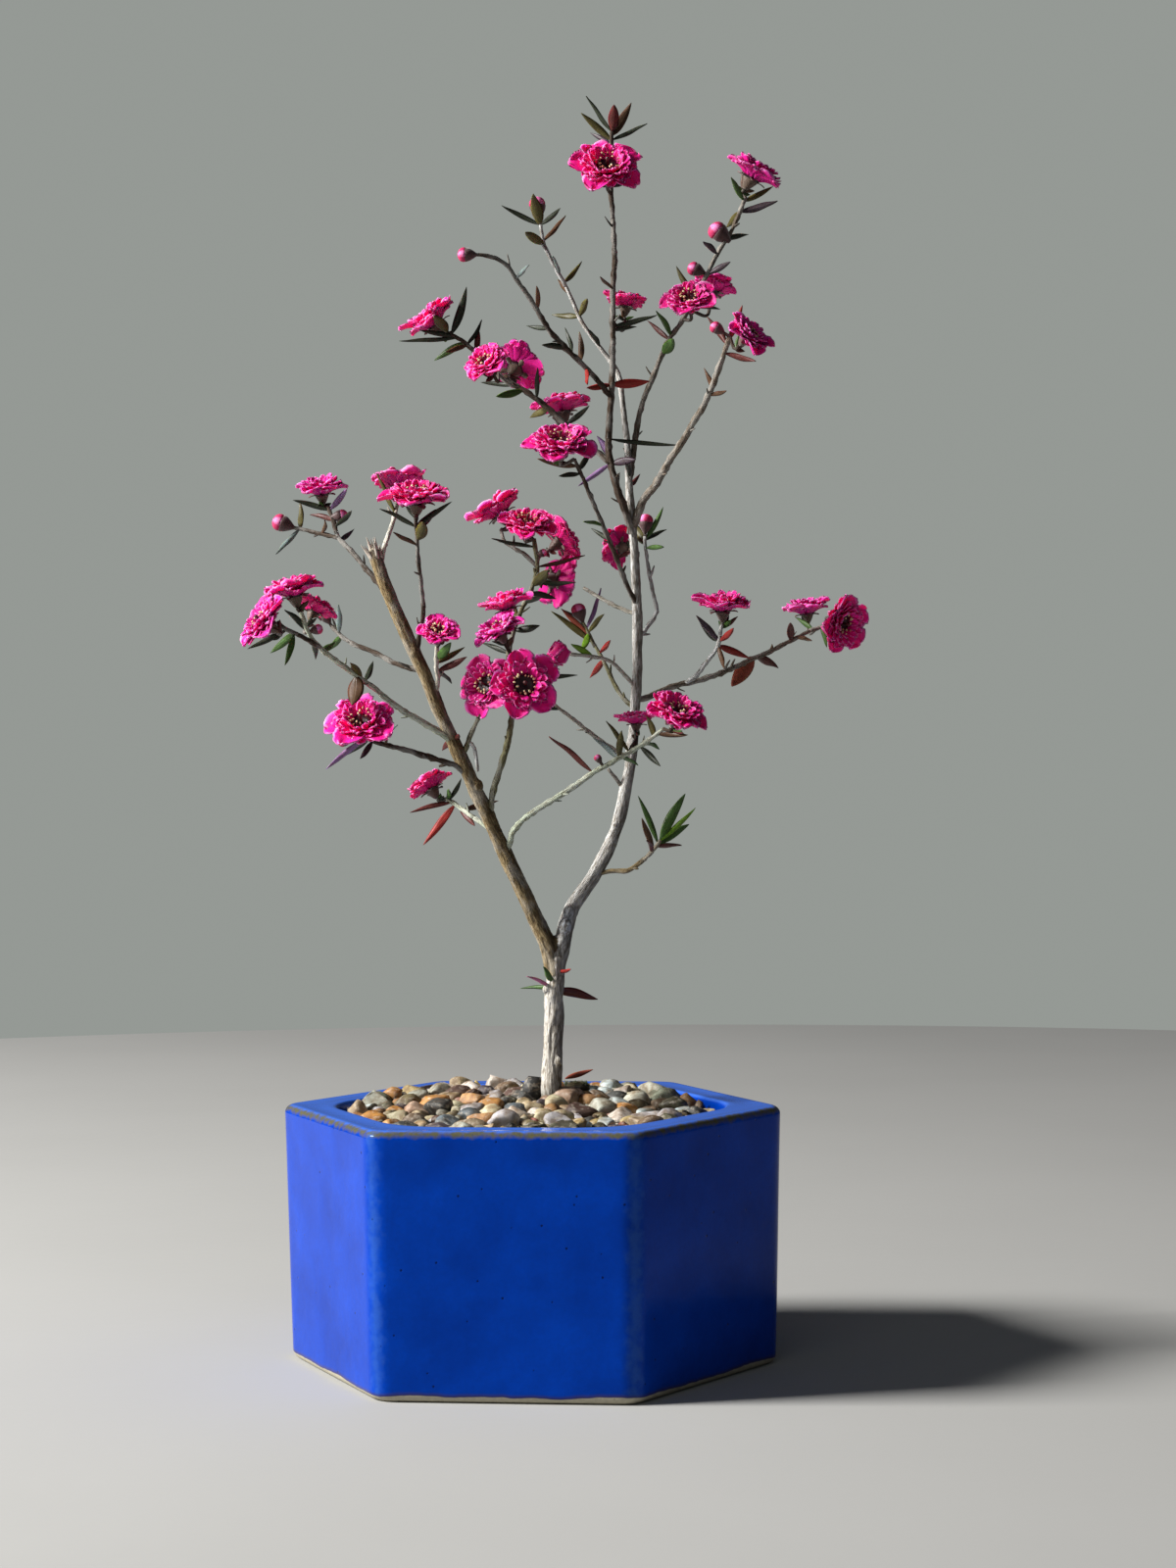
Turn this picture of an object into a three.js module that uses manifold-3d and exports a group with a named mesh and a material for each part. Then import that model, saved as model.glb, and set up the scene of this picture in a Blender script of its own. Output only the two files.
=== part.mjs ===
// A flowering tea tree grown as a small bonsai, in a six-sided glazed pot filled with soil and pea gravel.
// Millimetres, +Z up. The origin is the centre of the pot's foot, and the front faces -Y.
import * as THREE from 'three';
import { mergeVertices } from 'three/addons/utils/BufferGeometryUtils.js';
import Module from 'manifold-3d';

const wasm = await Module();
wasm.setup();

// Driving dimensions of the pot
const POT_CORNER_RADIUS = 60.8;
const POT_HEIGHT = 61.4;
const POT_FOOT_SCALE = 0.975;
const POT_TURN = -0.1035;
const POT_SIDE_EDGE_ROUND = 6;
const POT_RIM_EDGE_ROUND = 2;
const POT_SIDES = 6;
const OPENING_CORNER_RADIUS = 49.65;
const OPENING_EDGE_ROUND = 21;
const POT_FLOOR = 8;
const DRAIN_RADIUS = 4;
const DRAIN_DISTANCE = 22;
const DRAIN_COUNT = 3;

// Driving dimensions of the filling
const CLEARANCE = 0.3;
const SOIL_TOP = 53;
const BED_TOP = 56.6;
const MOUND_HEIGHT = 3.6;
const MOUND_TOP_RADIUS = 10;
const MOUND_RADIUS = 32;
const MOUND_MIDDLE = new THREE.Vector2(-4, 6);
const STONE_COUNT = 47;
const STONE_TURN = 2.39996;
const STONE_REACH = 6.15;
const STONE_RADIUS = 5.35;
const STONE_RADIUS_SPREAD = 0.7;
const STONE_NARROWEST = 0.84;
const STONE_FLATNESS = 0.72;
const STONE_LIFT = 0.6;
const STONE_TILT = 0.5;
const BOULDER_OFFSET = new THREE.Vector2(-4.2, 5);
const BOULDER_HEIGHT = 62.5;
const BOULDER_SIZE = new THREE.Vector3(3, 3.4, 4.8);
const ABOVE_ALL_STONES = 80;
const STEM_FOOT = 36;
const STEM_HOLE_RADIUS = 3.5;
const STEM_FRONT_VIEW = [4.85, 3, 63.5];

// Driving dimensions of what lies on the gravel, its places as [across, depth, height]
const SCRAP_PLACE = [11, 8, 65.3];
const SCRAP_SIZE = new THREE.Vector3(3.3, 2.6, 2.1);
const FALLEN_LEAF_BASE = [8.9, 8, 67.9];
const FALLEN_LEAF_TIP = [15.2, 9.5, 69.6];
const FALLEN_LEAF_WIDTH = 1.8;

// Driving dimensions of the plant
const TUBE_STEP = 12;
const TWIG_SIDES = 4;
const LIMB_SIDES = 6;
const SPUR_RADIUS = 0.45;
const BLADE_THICKNESS = 0.62;
const LEAF_LENGTH = 9.5;
const LEAN_SHARE = 0.8;
const BLADE_HALF_WIDTH = 0.58;
const BLADE_ARCH = 0.25;
const BLADE_FACING = new THREE.Vector3(0.25, 1, 0.2);
const ROOT_DEPTH = 1;
const LEAF_WIDTH = 1.2;
const BROAD_LEAF_WIDTH = 1.6;
const BUD_STRETCH = 1.2;
const CALYX_LENGTH = 3.4;
const MODEL_BLOOM_RADIUS = 7.5;
const PETAL_COUNT = 5;
const BLOOM_DEPTH = 0.3;
const STALK_BEND = 0.35;
const NEAREST_STEPS = 400;

// The eye that the front view is laid out for
const EYE = new THREE.Vector3(14.4, -758, 150.4);

const part = new THREE.Group();

// A point is read in the upright plane through the pot's centre, then moved along the line of sight
function alongSight(across, depth, height) {
  const point = new THREE.Vector3(across, 0, height);
  return point.sub(EYE).multiplyScalar((depth - EYE.y) / -EYE.y).add(EYE);
}

// A closed geometry as a solid that can be joined and cut
function solid(geometry) {
  const bare = new THREE.BufferGeometry();
  bare.setAttribute('position', geometry.getAttribute('position').clone());
  bare.setIndex(geometry.index);
  const merged = mergeVertices(bare, 1e-4);
  const corners = merged.index.array;
  const triVerts = [];
  for (let i = 0; i < corners.length; i += 3) {
    const [a, b, c] = corners.slice(i, i + 3);
    if (a !== b && b !== c && c !== a) {
      triVerts.push(a, b, c);
    }
  }
  const vertProperties = new Float32Array(merged.getAttribute('position').array);
  return new wasm.Manifold(new wasm.Mesh({ numProp: 3, vertProperties, triVerts: new Uint32Array(triVerts) }));
}

function joined(solids) {
  return solids.reduce((whole, next) => whole.add(next));
}

function addMesh(name, whole, colour, roughness, metalness = 0) {
  const { numProp, vertProperties, triVerts } = whole.getMesh();
  const geometry = new THREE.BufferGeometry();
  geometry.setAttribute('position', new THREE.BufferAttribute(vertProperties, numProp));
  geometry.setIndex(new THREE.BufferAttribute(triVerts, 1));
  geometry.computeVertexNormals();
  const mesh = new THREE.Mesh(geometry, new THREE.MeshStandardMaterial({ color: colour, roughness, metalness }));
  mesh.name = name;
  part.add(mesh);
}

// Repeatable draws between 0 and 1
function seededDraws(seed) {
  let state = seed;
  return () => {
    state = (state * 1664525 + 1013904223) % 4294967296;
    return state / 4294967296;
  };
}

// The pot

function roundedHexagon(cornerRadius, edgeRound) {
  const corners = [];
  for (let i = 0; i < POT_SIDES; i += 1) {
    const angle = POT_TURN + (i - 0.5) * 2 * Math.PI / POT_SIDES;
    corners.push(new THREE.Vector2(Math.sin(angle), -Math.cos(angle)).multiplyScalar(cornerRadius));
  }
  const share = edgeRound * Math.tan(Math.PI / POT_SIDES) / cornerRadius;
  const shape = new THREE.Shape();
  corners.forEach((corner, i) => {
    const before = corner.clone().lerp(corners[(i + POT_SIDES - 1) % POT_SIDES], share);
    const after = corner.clone().lerp(corners[(i + 1) % POT_SIDES], share);
    if (i === 0) {
      shape.moveTo(before.x, before.y);
    } else {
      shape.lineTo(before.x, before.y);
    }
    shape.quadraticCurveTo(corner.x, corner.y, after.x, after.y);
  });
  shape.closePath();
  return shape;
}

function prism(shape, bottom, top, curveSegments) {
  const geometry = new THREE.ExtrudeGeometry(shape, { depth: top - bottom, bevelEnabled: false, curveSegments });
  return geometry.translate(0, 0, bottom);
}

function upright(radius, bottom, top, sides, x = 0, y = 0) {
  const cylinder = new THREE.CylinderGeometry(radius, radius, top - bottom, sides);
  return cylinder.rotateX(Math.PI / 2).translate(x, y, (bottom + top) / 2);
}

function buildPot() {
  const outside = new THREE.ExtrudeGeometry(roundedHexagon(POT_CORNER_RADIUS, POT_SIDE_EDGE_ROUND), {
    depth: POT_HEIGHT - 2 * POT_RIM_EDGE_ROUND,
    bevelThickness: POT_RIM_EDGE_ROUND,
    bevelSize: POT_RIM_EDGE_ROUND,
    bevelOffset: -POT_RIM_EDGE_ROUND,
    bevelSegments: 2,
    curveSegments: 2,
  });
  outside.translate(0, 0, POT_RIM_EDGE_ROUND);
  const places = outside.getAttribute('position');
  for (let i = 0; i < places.count; i += 1) {
    const scale = THREE.MathUtils.lerp(POT_FOOT_SCALE, 1, places.getZ(i) / POT_HEIGHT);
    places.setX(i, places.getX(i) * scale);
    places.setY(i, places.getY(i) * scale);
  }
  const opening = roundedHexagon(OPENING_CORNER_RADIUS, OPENING_EDGE_ROUND);
  let pot = solid(outside).subtract(solid(prism(opening, POT_FLOOR, POT_HEIGHT + 1, 4)));
  for (let i = 0; i < DRAIN_COUNT; i += 1) {
    const angle = i * 2 * Math.PI / DRAIN_COUNT;
    const [x, y] = [DRAIN_DISTANCE * Math.cos(angle), DRAIN_DISTANCE * Math.sin(angle)];
    pot = pot.subtract(solid(upright(DRAIN_RADIUS, -1, POT_FLOOR + 1, 8, x, y)));
  }
  addMesh('pot', pot, '#0f4fc4', 0.12);
}

// The soil and the gravel, with plain holes for the stem

const STEM_BASE = alongSight(...STEM_FRONT_VIEW);

function stemHole() {
  const bottom = STEM_FOOT - CLEARANCE;
  return solid(upright(STEM_HOLE_RADIUS, bottom, ABOVE_ALL_STONES, 10, STEM_BASE.x, STEM_BASE.y));
}

function fillingShape() {
  return roundedHexagon(OPENING_CORNER_RADIUS - 2 * CLEARANCE, OPENING_EDGE_ROUND);
}

function buildSoil() {
  const soil = solid(prism(fillingShape(), POT_FLOOR + CLEARANCE, SOIL_TOP, 4));
  addMesh('soil', soil.subtract(stemHole()), '#3a2a1d', 0.95);
}

function pebble(place, size, draw) {
  const tilt = () => STONE_TILT * (draw() - 0.5);
  const turn = () => 2 * Math.PI * draw();
  const stone = new THREE.IcosahedronGeometry(1, 0).rotateX(turn()).rotateZ(turn());
  stone.scale(size.x, size.y, size.z).rotateX(tilt()).rotateY(tilt());
  return stone.rotateZ(turn()).translate(place.x, place.y, place.z);
}

// Height of the gravel bed: flat, with a low mound a little to the back left
function bedHeight(x, y) {
  const reach = Math.hypot(x - MOUND_MIDDLE.x, y - MOUND_MIDDLE.y);
  const rise = THREE.MathUtils.clamp((MOUND_RADIUS - reach) / (MOUND_RADIUS - MOUND_TOP_RADIUS), 0, 1);
  return BED_TOP + MOUND_HEIGHT * rise;
}

function buildGravel() {
  const draw = seededDraws(7);
  const bottom = SOIL_TOP + CLEARANCE;
  const mound = new THREE.CylinderGeometry(MOUND_TOP_RADIUS, MOUND_RADIUS, MOUND_HEIGHT, 10);
  mound.rotateX(Math.PI / 2).translate(MOUND_MIDDLE.x, MOUND_MIDDLE.y, BED_TOP + MOUND_HEIGHT / 2);
  const stones = [solid(prism(fillingShape(), bottom, BED_TOP, 2)), solid(mound)];
  for (let i = 0; i < STONE_COUNT; i += 1) {
    const angle = i * STONE_TURN;
    const distance = STONE_REACH * Math.sqrt(i + 0.5);
    const [x, y] = [distance * Math.cos(angle), distance * Math.sin(angle)];
    const width = STONE_RADIUS + STONE_RADIUS_SPREAD * draw();
    const depth = width * THREE.MathUtils.lerp(STONE_NARROWEST, 1, draw());
    const place = new THREE.Vector3(x, y, bedHeight(x, y) + STONE_LIFT * draw());
    stones.push(solid(pebble(place, new THREE.Vector3(width, depth, width * STONE_FLATNESS), draw)));
  }
  // the larger dark stone leaning at the left of the stem
  const [boulderX, boulderY] = [STEM_BASE.x + BOULDER_OFFSET.x, STEM_BASE.y + BOULDER_OFFSET.y];
  stones.push(solid(pebble(new THREE.Vector3(boulderX, boulderY, BOULDER_HEIGHT), BOULDER_SIZE, draw)));
  const inside = solid(prism(fillingShape(), bottom, ABOVE_ALL_STONES, 4));
  const gravel = joined(stones).intersect(inside).subtract(stemHole());
  addMesh('gravel', gravel, '#a08a6c', 0.75);
  return gravel;
}

// What lies on the gravel at the right of the stem: a scrap of bark, and a dry leaf on it

function buildLitter(gravel) {
  const draw = seededDraws(5);
  const scrap = solid(pebble(alongSight(...SCRAP_PLACE), SCRAP_SIZE, draw));
  const lifted = gravel.translate([0, 0, CLEARANCE]);
  const shaped = scrap.subtract(lifted).subtract(stemHole());
  const pieces = shaped.decompose().sort((one, other) => other.volume() - one.volume());
  addMesh('bark_scrap', pieces[0], '#4a3d2a', 0.9);
  const leaf = blade(alongSight(...FALLEN_LEAF_BASE), alongSight(...FALLEN_LEAF_TIP), FALLEN_LEAF_WIDTH, 4);
  addMesh('fallen_leaf', leaf, '#8d6350', 0.8);
}

// Wood: tapered tubes along middle lines of short straight stretches

function middleLine(points) {
  const curve = new THREE.CatmullRomCurve3(points, false, 'centripetal');
  return curve.getSpacedPoints(Math.max(1, Math.round(curve.getLength() / TUBE_STEP)));
}

function pointOn(line, share) {
  const reach = share * (line.length - 1);
  const before = Math.min(Math.floor(reach), line.length - 2);
  return line[before].clone().lerp(line[before + 1], reach - before);
}

// Radii are given at even steps along a branch
function radiusAt(radii, share) {
  const reach = share * (radii.length - 1);
  const before = Math.min(Math.floor(reach), radii.length - 2);
  return THREE.MathUtils.lerp(radii[before], radii[before + 1], reach - before);
}

function tube(line, radii, sides) {
  const steps = line.length - 1;
  const headings = line.map((point, i) => {
    const ahead = line[Math.min(i + 1, steps)].clone();
    return ahead.sub(line[Math.max(i - 1, 0)]).normalize();
  });
  const normals = [new THREE.Vector3(0.3, 1, 0.1).projectOnPlane(headings[0]).normalize()];
  for (let i = 1; i <= steps; i += 1) {
    normals.push(normals[i - 1].clone().projectOnPlane(headings[i]).normalize());
  }
  const geometry = new THREE.CylinderGeometry(1, 1, 1, sides, steps);
  const places = geometry.getAttribute('position');
  for (let i = 0; i < places.count; i += 1) {
    const share = 0.5 - places.getY(i);
    const step = Math.round(share * steps);
    const binormal = headings[step].clone().cross(normals[step]);
    const radius = radiusAt(radii, share);
    const place = line[step].clone().addScaledVector(normals[step], radius * places.getX(i));
    place.addScaledVector(binormal, radius * places.getZ(i));
    places.setXYZ(i, place.x, place.y, place.z);
  }
  return solid(geometry);
}

// A pointed blade of lens-shaped section, broad side to the front
function blade(base, tip, width, rings = 3) {
  const geometry = new THREE.SphereGeometry(1, 4, rings);
  const length = tip.clone().sub(base);
  const side = length.clone().cross(BLADE_FACING).normalize();
  const face = side.clone().cross(length).normalize();
  const places = geometry.getAttribute('position');
  for (let i = 0; i < places.count; i += 1) {
    const along = (1 + places.getY(i)) / 2;
    const arch = BLADE_ARCH * length.length() * along * (1 - along);
    const place = base.clone().addScaledVector(length, along);
    place.addScaledVector(side, BLADE_HALF_WIDTH * width * places.getX(i));
    place.addScaledVector(face, BLADE_HALF_WIDTH * BLADE_THICKNESS * places.getZ(i) + arch);
    places.setXYZ(i, place.x, place.y, place.z);
  }
  return solid(geometry);
}

// Each branch: what it grows on, its radii, the number of the route's point where the young shoot begins, if it
// has one, its route as [across, depth, height], then what it carries, as seen from the front. A leaf is
// [base across, base height, tip across, tip height, width], a bud is [across, height, radius].
const BRANCHES = [
  {
    name: 'trunk',
    radii: [1.6, 2.9, 2.45, 2.3, 2.3],
    route: [[4.6, 3, 37], [4.7, 3, 50], [4.85, 3, 63.5], [5.4, 3, 75], [5.9, 3, 86], [6.3, 3, 97]],
    leaves: [[3.4, 89.5, 3.3, 94.5, 1.4], [3, 89, -2.3, 89.3, 0.8], [3, 89.5, -0.8, 92.2, 0.8],
      [8.6, 88.6, 16.4, 86.5, 2], [8.5, 92.6, 9.9, 93.8, 0.8]],
  },
  {
    name: 'left_limb',
    on: 'trunk',
    radii: [2.3, 1.9, 1.75, 1.7, 1.6, 1.65],
    route: [[6.1, 3, 92], [5, 2.9, 98], [1, 2, 107], [-4, 0.2, 118], [-8.5, -1.8, 128], [-12.5, -3.4, 137],
      [-17, -5, 147], [-21, -6.2, 156], [-25.5, -7.2, 167], [-30, -7.4, 177], [-34, -6.6, 187],
      [-36.5, -6, 194.5]],
    leaves: [[-13.5, 151, -16.5, 150.3, 1], [-19, 149, -20.5, 146.5, 1.2]],
  },
  {
    name: 'right_limb',
    on: 'trunk',
    radii: [2.3, 1.75, 1.5, 1.3, 1.25, 1, 0.75, 0.55, 0.45],
    young: 20,
    route: [[6.5, 3.2, 92], [7.5, 3.6, 98], [10, 5.4, 108], [16, 7.4, 117], [20.5, 9, 126], [23.2, 10, 136],
      [25, 10.2, 146], [26, 9.6, 158], [26.5, 8.4, 172], [26.5, 7.6, 180], [26.2, 6.8, 188], [25.9, 6, 196],
      [25, 5.4, 208], [24.5, 6.6, 219], [23.5, 8.4, 229], [22.5, 9.6, 236], [20.5, 10.4, 239.5],
      [17.5, 10.6, 243.5], [14, 10.4, 248.5], [12, 10, 253], [10, 9.4, 257.5], [7.5, 8.4, 262],
      [6, 7.6, 265], [4.8, 7, 268], [4.2, 6.6, 272]],
    leaves: [[4.3, 272.5, 2.5, 279.5, 2.3], [3.5, 272, -5.2, 276.8, 1], [4.5, 272, 9, 276, 1],
      [5, 268, 10.3, 274.3, 1], [4.8, 267.5, 0.5, 270.3, 1.8], [10, 258.5, 14, 263.3, 1],
      [8.5, 259.5, 7, 264.5, 0.9], [10.3, 255, 8.2, 259, 1.2], [13, 250, 15.2, 254.3, 1.4],
      [12.5, 250, 6.7, 250.5, 1.2], [18, 243, 15.2, 247, 1.2], [25, 209, 27.5, 212.3, 1],
      [25.3, 211.5, 24, 215, 1]],
    buds: [[3.5, 276.3, 2]],
  },
  {
    name: 'leader',
    on: 'right_limb',
    radii: [0.9, 0.8, 0.7, 0.6, 0.5],
    young: 10,
    route: [[25.5, 5.6, 198], [24, 4, 203], [21.5, 2.4, 210.5], [20, 2, 218], [20.2, 1.8, 224],
      [21, 1.8, 235], [21.3, 2.6, 250], [21.3, 3, 256], [21.8, 3.4, 262], [21.8, 3.7, 268], [21.5, 4, 273],
      [21.1, 4.2, 280], [21.2, 4.2, 287], [21.4, 4, 294]],
    leaves: [[21, 294, 15.3, 302.7, 1.1], [20.8, 292, 14, 298.7, 1.4], [21.3, 294, 22, 300.5, 2.2],
      [21.5, 293, 26.2, 301, 1.7], [21.5, 292, 30, 296, 0.9], [21, 291, 16.3, 293.8, 1],
      [21.2, 281.5, 16, 281.8, 1.2], [21.2, 281.5, 25.5, 282.3, 1.2], [20.5, 215.3, 26.5, 215.8, 1.5],
      [20, 216.5, 17.3, 221.5, 1.5], [20.5, 214.5, 12.5, 209.5, 1], [20.2, 221.2, 37.5, 219.2, 0.9],
      [21, 234, 14.8, 233, 1.2], [21, 233.5, 30, 234.5, 1.8], [21.2, 247.5, 32, 250.3, 1.1],
      [21.2, 246.5, 27, 247.5, 1], [21.3, 256, 18.3, 259.5, 0.9]],
  },
  {
    name: 'far_left',
    on: 'leader',
    radii: [0.65, 0.6, 0.45],
    young: 5,
    route: [[20.6, 1.8, 231], [16.5, -2, 236], [11.5, -6, 241], [6, -10, 247], [3.2, -12, 251.7],
      [0.5, -13.5, 256], [-2, -14.5, 259.5], [-3.7, -15, 262.2], [-7, -16, 264.3], [-10.6, -17, 265]],
    leaves: [[10, 242, 4.3, 243.3, 1.2], [13.8, 239, 13.3, 246.5, 1.2], [15, 238, 15, 233.8, 1.2],
      [6, 247, 0.5, 248, 0.9], [3.2, 252, 3.1, 257.5, 0.9], [11.8, 241, 9.8, 247.5, 0.9],
      [-2, 259, 1.4, 262.5, 0.9]],
    buds: [[-13.6, 265, 1.7]],
  },
  {
    name: 'upper_right',
    on: 'right_limb',
    radii: [0.75, 0.65, 0.55, 0.5],
    young: 4,
    route: [[25.3, 5.6, 210], [26.3, 8, 220], [28, 10, 228.5], [31.2, 12, 236.5], [34.5, 13, 244],
      [38.3, 13.5, 249.5], [41, 14, 255], [43.5, 15, 259], [46, 17, 264], [50, 20, 270.5],
      [53.2, 22, 278]],
    leaves: [[35, 245.5, 31.6, 251.3, 1.2], [34.5, 245, 29.5, 249, 1], [33.5, 241, 35.7, 244.5, 2.2],
      [40.8, 254.5, 36.5, 262, 1.2], [44, 260, 49.5, 262.8, 1.2], [40.5, 252.5, 47, 251.5, 1.1],
      [46, 265, 43, 267.6, 1.2], [49, 268, 54, 269.3, 1.1], [52, 275, 61, 277.3, 1.5],
      [52.8, 277, 60, 280.8, 1.1], [52.5, 277.5, 49.8, 283, 1.2], [51.5, 274.5, 48.6, 271, 1.6]],
    buds: [[46.9, 269.7, 2.3], [41.2, 261, 1.7]],
  },
  {
    name: 'front_right',
    on: 'right_limb',
    radii: [1, 0.85, 0.7, 0.6],
    young: 9,
    route: [[26, 6, 200], [28.5, 3, 206.5], [31, 0, 209.5], [34, -4, 214.5], [37, -8, 219],
      [40, -12, 224], [42.5, -15, 228], [44.5, -18, 232], [46, -20, 236], [47.5, -22, 240],
      [49.2, -23.5, 245]],
    leaves: [[49, 244, 52.3, 252.5, 1.3], [48.7, 243.5, 43.8, 249.8, 1.2], [47.8, 240.7, 55.5, 239, 1.2],
      [45, 233, 43, 237.5, 0.9], [44.3, 230.5, 48.3, 232, 0.9]],
    buds: [[46.2, 246.9, 1.4]],
  },
  {
    name: 'upper_middle',
    on: 'right_limb',
    radii: [0.6, 0.55, 0.45],
    young: 5,
    route: [[26.2, 7.2, 181], [24, 4, 186], [21, -2, 194], [18.5, -6, 200], [16, -10, 206],
      [13.6, -13, 212], [11.8, -15, 216]],
    leaves: [[13.4, 212.3, 8, 212, 1], [12.8, 213.5, 16.2, 218.3, 1.1], [12.3, 214.5, 2.8, 216.2, 1.3],
      [20, 197, 15.6, 199.5, 0.9], [19, 200, 13.8, 201, 0.9]],
  },
  {
    name: 'back_left',
    on: 'leader',
    radii: [0.75, 0.7, 0.6, 0.5],
    young: 8,
    route: [[20.5, 2, 214.5], [16, 4.5, 218.7], [12, 6.5, 222], [8, 8.5, 226], [4, 10, 229.5],
      [-0.5, 11.5, 232.8], [-4, 12.5, 234.5], [-8.5, 14.5, 239], [-12.5, 16, 242.5], [-15, 17, 244.7],
      [-18.2, 18, 246.4]],
    leaves: [[-17.5, 246, -13.6, 257.5, 1.6], [-16, 245, -30, 244.6, 0.9], [-16.5, 245.5, -25, 247.2, 1],
      [-14.5, 244, -21.5, 239.8, 1.4], [-13.5, 243.5, -18.8, 241.8, 1.1], [-13.3, 243.3, -10, 249.5, 1.2],
      [-0.5, 232.8, -6.8, 231.2, 1.5], [-3, 234, -10.5, 234.6, 1], [2.5, 230.5, 3.2, 238, 1],
      [6, 227.8, 1.2, 226, 1.5], [10, 224, 15.5, 228.8, 1.1]],
  },
  {
    name: 'bud_twig',
    on: 'right_limb',
    radii: [0.55, 0.45, 0.4],
    young: 5,
    route: [[26.5, 8.4, 173], [29.5, 12, 176.5], [31.2, 14, 179.5], [30.3, 15, 184], [29, 15, 192],
      [28.6, 14.5, 195], [28.5, 14, 197.5]],
    leaves: [[28.8, 196.5, 33, 204.5, 1], [28.7, 196.5, 33.8, 199, 1], [28.8, 195, 33, 194.8, 1],
      [28.7, 196, 24.5, 201.5, 2]],
    buds: [[28.8, 200.6, 1.8]],
  },
  {
    name: 'dead_twig_high',
    on: 'right_limb',
    radii: [0.5, 0.4],
    route: [[26.5, 7.6, 178.7], [23, 9, 180], [16.5, 11.5, 183.5], [13.8, 12.5, 185.2]],
  },
  {
    name: 'right_reach',
    on: 'right_limb',
    radii: [0.75, 0.65, 0.6, 0.5],
    young: 9,
    route: [[26, 9.6, 158], [28.5, 11, 158.7], [35, 14, 161.5], [42, 17, 163], [50, 21, 166],
      [54, 23, 167.8], [58, 25, 169.5], [62, 27, 171.5], [65, 28.5, 173], [68, 30, 174.5],
      [72.2, 31, 175.8]],
    leaves: [[54.5, 168, 49, 161.3, 3], [55, 168.2, 60.3, 165.6, 1.7], [62.8, 172, 63.2, 176.4, 1.5],
      [69, 174.8, 64.3, 177.8, 1], [70.5, 175, 71.8, 170.5, 1], [71.5, 175.4, 76.2, 170.8, 0.9],
      [71, 175.2, 74, 170.7, 1], [58, 169.5, 58.8, 171.3, 0.9], [65, 173, 68.3, 172, 0.9]],
  },
  {
    name: 'right_rise',
    on: 'right_reach',
    radii: [0.6, 0.5, 0.45],
    route: [[38, 15.3, 162.2], [40.5, 13, 163.9], [43.5, 10, 167.7], [45.5, 8, 170.5], [46.3, 7, 173],
      [46.7, 6.4, 176]],
    leaves: [[46, 172, 40.6, 178.4, 1.2], [45.8, 172, 41.6, 176.5, 1.4], [46.3, 172, 49.6, 175.3, 1.2],
      [46, 171.3, 53.6, 168, 1.4], [45.8, 171, 47.3, 165.5, 1]],
  },
  {
    name: 'front_middle',
    on: 'left_limb',
    radii: [0.75, 0.65, 0.5],
    young: 7,
    route: [[-5, -0.6, 121], [-3.5, -3, 127], [-1, -5, 130], [6, -8, 134.5], [10, -9.5, 137],
      [14, -10.5, 139.7], [16.5, -11, 141.5], [19, -11.5, 142.7], [22, -12, 144.5], [25, -12.5, 146],
      [30, -13.5, 149.3], [32.6, -14, 151.3]],
    leaves: [[15.5, 141, 5, 149.8, 1.2], [21.5, 144.5, 15.7, 149.3, 1.2], [22, 144.6, 22.6, 151, 1.4],
      [24, 145.6, 26.5, 149.8, 1.1], [24.5, 145.8, 18.8, 153.4, 1], [30.3, 149.5, 28.5, 154.5, 1.2],
      [31, 150, 38.5, 149.8, 1.1], [27.5, 147.5, 31.6, 146.4, 1.3], [26.5, 147, 31.8, 142.3, 1.2],
      [23, 144.9, 26.5, 142.6, 1.2]],
    buds: [[16.9, 144.2, 0.9]],
  },
  {
    name: 'stub_twig',
    on: 'right_limb',
    radii: [0.5, 0.4],
    route: [[23.2, 10, 136.8], [19.3, 8.5, 141.8]],
  },
  {
    name: 'dead_twig_low',
    on: 'right_limb',
    radii: [0.55, 0.5, 0.4],
    route: [[25, 10.2, 144], [22, 9, 145.5], [15, 6, 150.5], [11, 4, 153.8], [6.5, 2, 157.3]],
    leaves: [[8.5, 156, 1, 156.9, 1]],
  },
  {
    name: 'round_bud_twig',
    on: 'right_limb',
    radii: [0.55, 0.5, 0.4],
    young: 4,
    route: [[26, 9.8, 156.5], [23, 12, 159], [21, 14, 162], [18, 16.5, 168.5], [16.5, 17.5, 171],
      [14.5, 18.5, 175], [13.5, 19, 177]],
    leaves: [[15.5, 172, 5.8, 179.8, 1.2], [15, 173.5, 8.2, 180.4, 1.2], [14.5, 174, 12.9, 170.3, 1.3],
      [14, 175.5, 17.9, 185.3, 1], [14.8, 174.5, 18.6, 178.9, 1.1], [14, 176, 9, 180, 1.1],
      [17.5, 169.5, 20, 172.6, 1], [18.5, 167.8, 15, 163.6, 1.2]],
    buds: [[12.6, 179.4, 1.8]],
  },
  {
    name: 'pale_twig',
    on: 'right_limb',
    radii: [0.5, 0.45, 0.4],
    route: [[26, 9.4, 161.5], [22.5, 7, 165.4], [19.5, 4, 167.8], [14.5, 1, 168.9], [10.6, -1, 169.4]],
    leaves: [[16, 168.5, 10.6, 171.8, 1.3]],
  },
  {
    name: 'middle_rise',
    on: 'left_limb',
    radii: [0.8, 0.7, 0.6, 0.5],
    young: 11,
    route: [[-9.5, -2.2, 130.5], [-8, -4.5, 138], [-5.5, -5.5, 145.5], [-4, -6, 152], [-3.7, -5, 160],
      [-4.2, -2, 166], [-4.3, 1, 170], [-3, 5, 175.5], [-1, 7.5, 180.5], [1, 9.5, 184.5],
      [2.5, 11.5, 189], [2.7, 12, 192], [1.9, 12.5, 197]],
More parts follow.
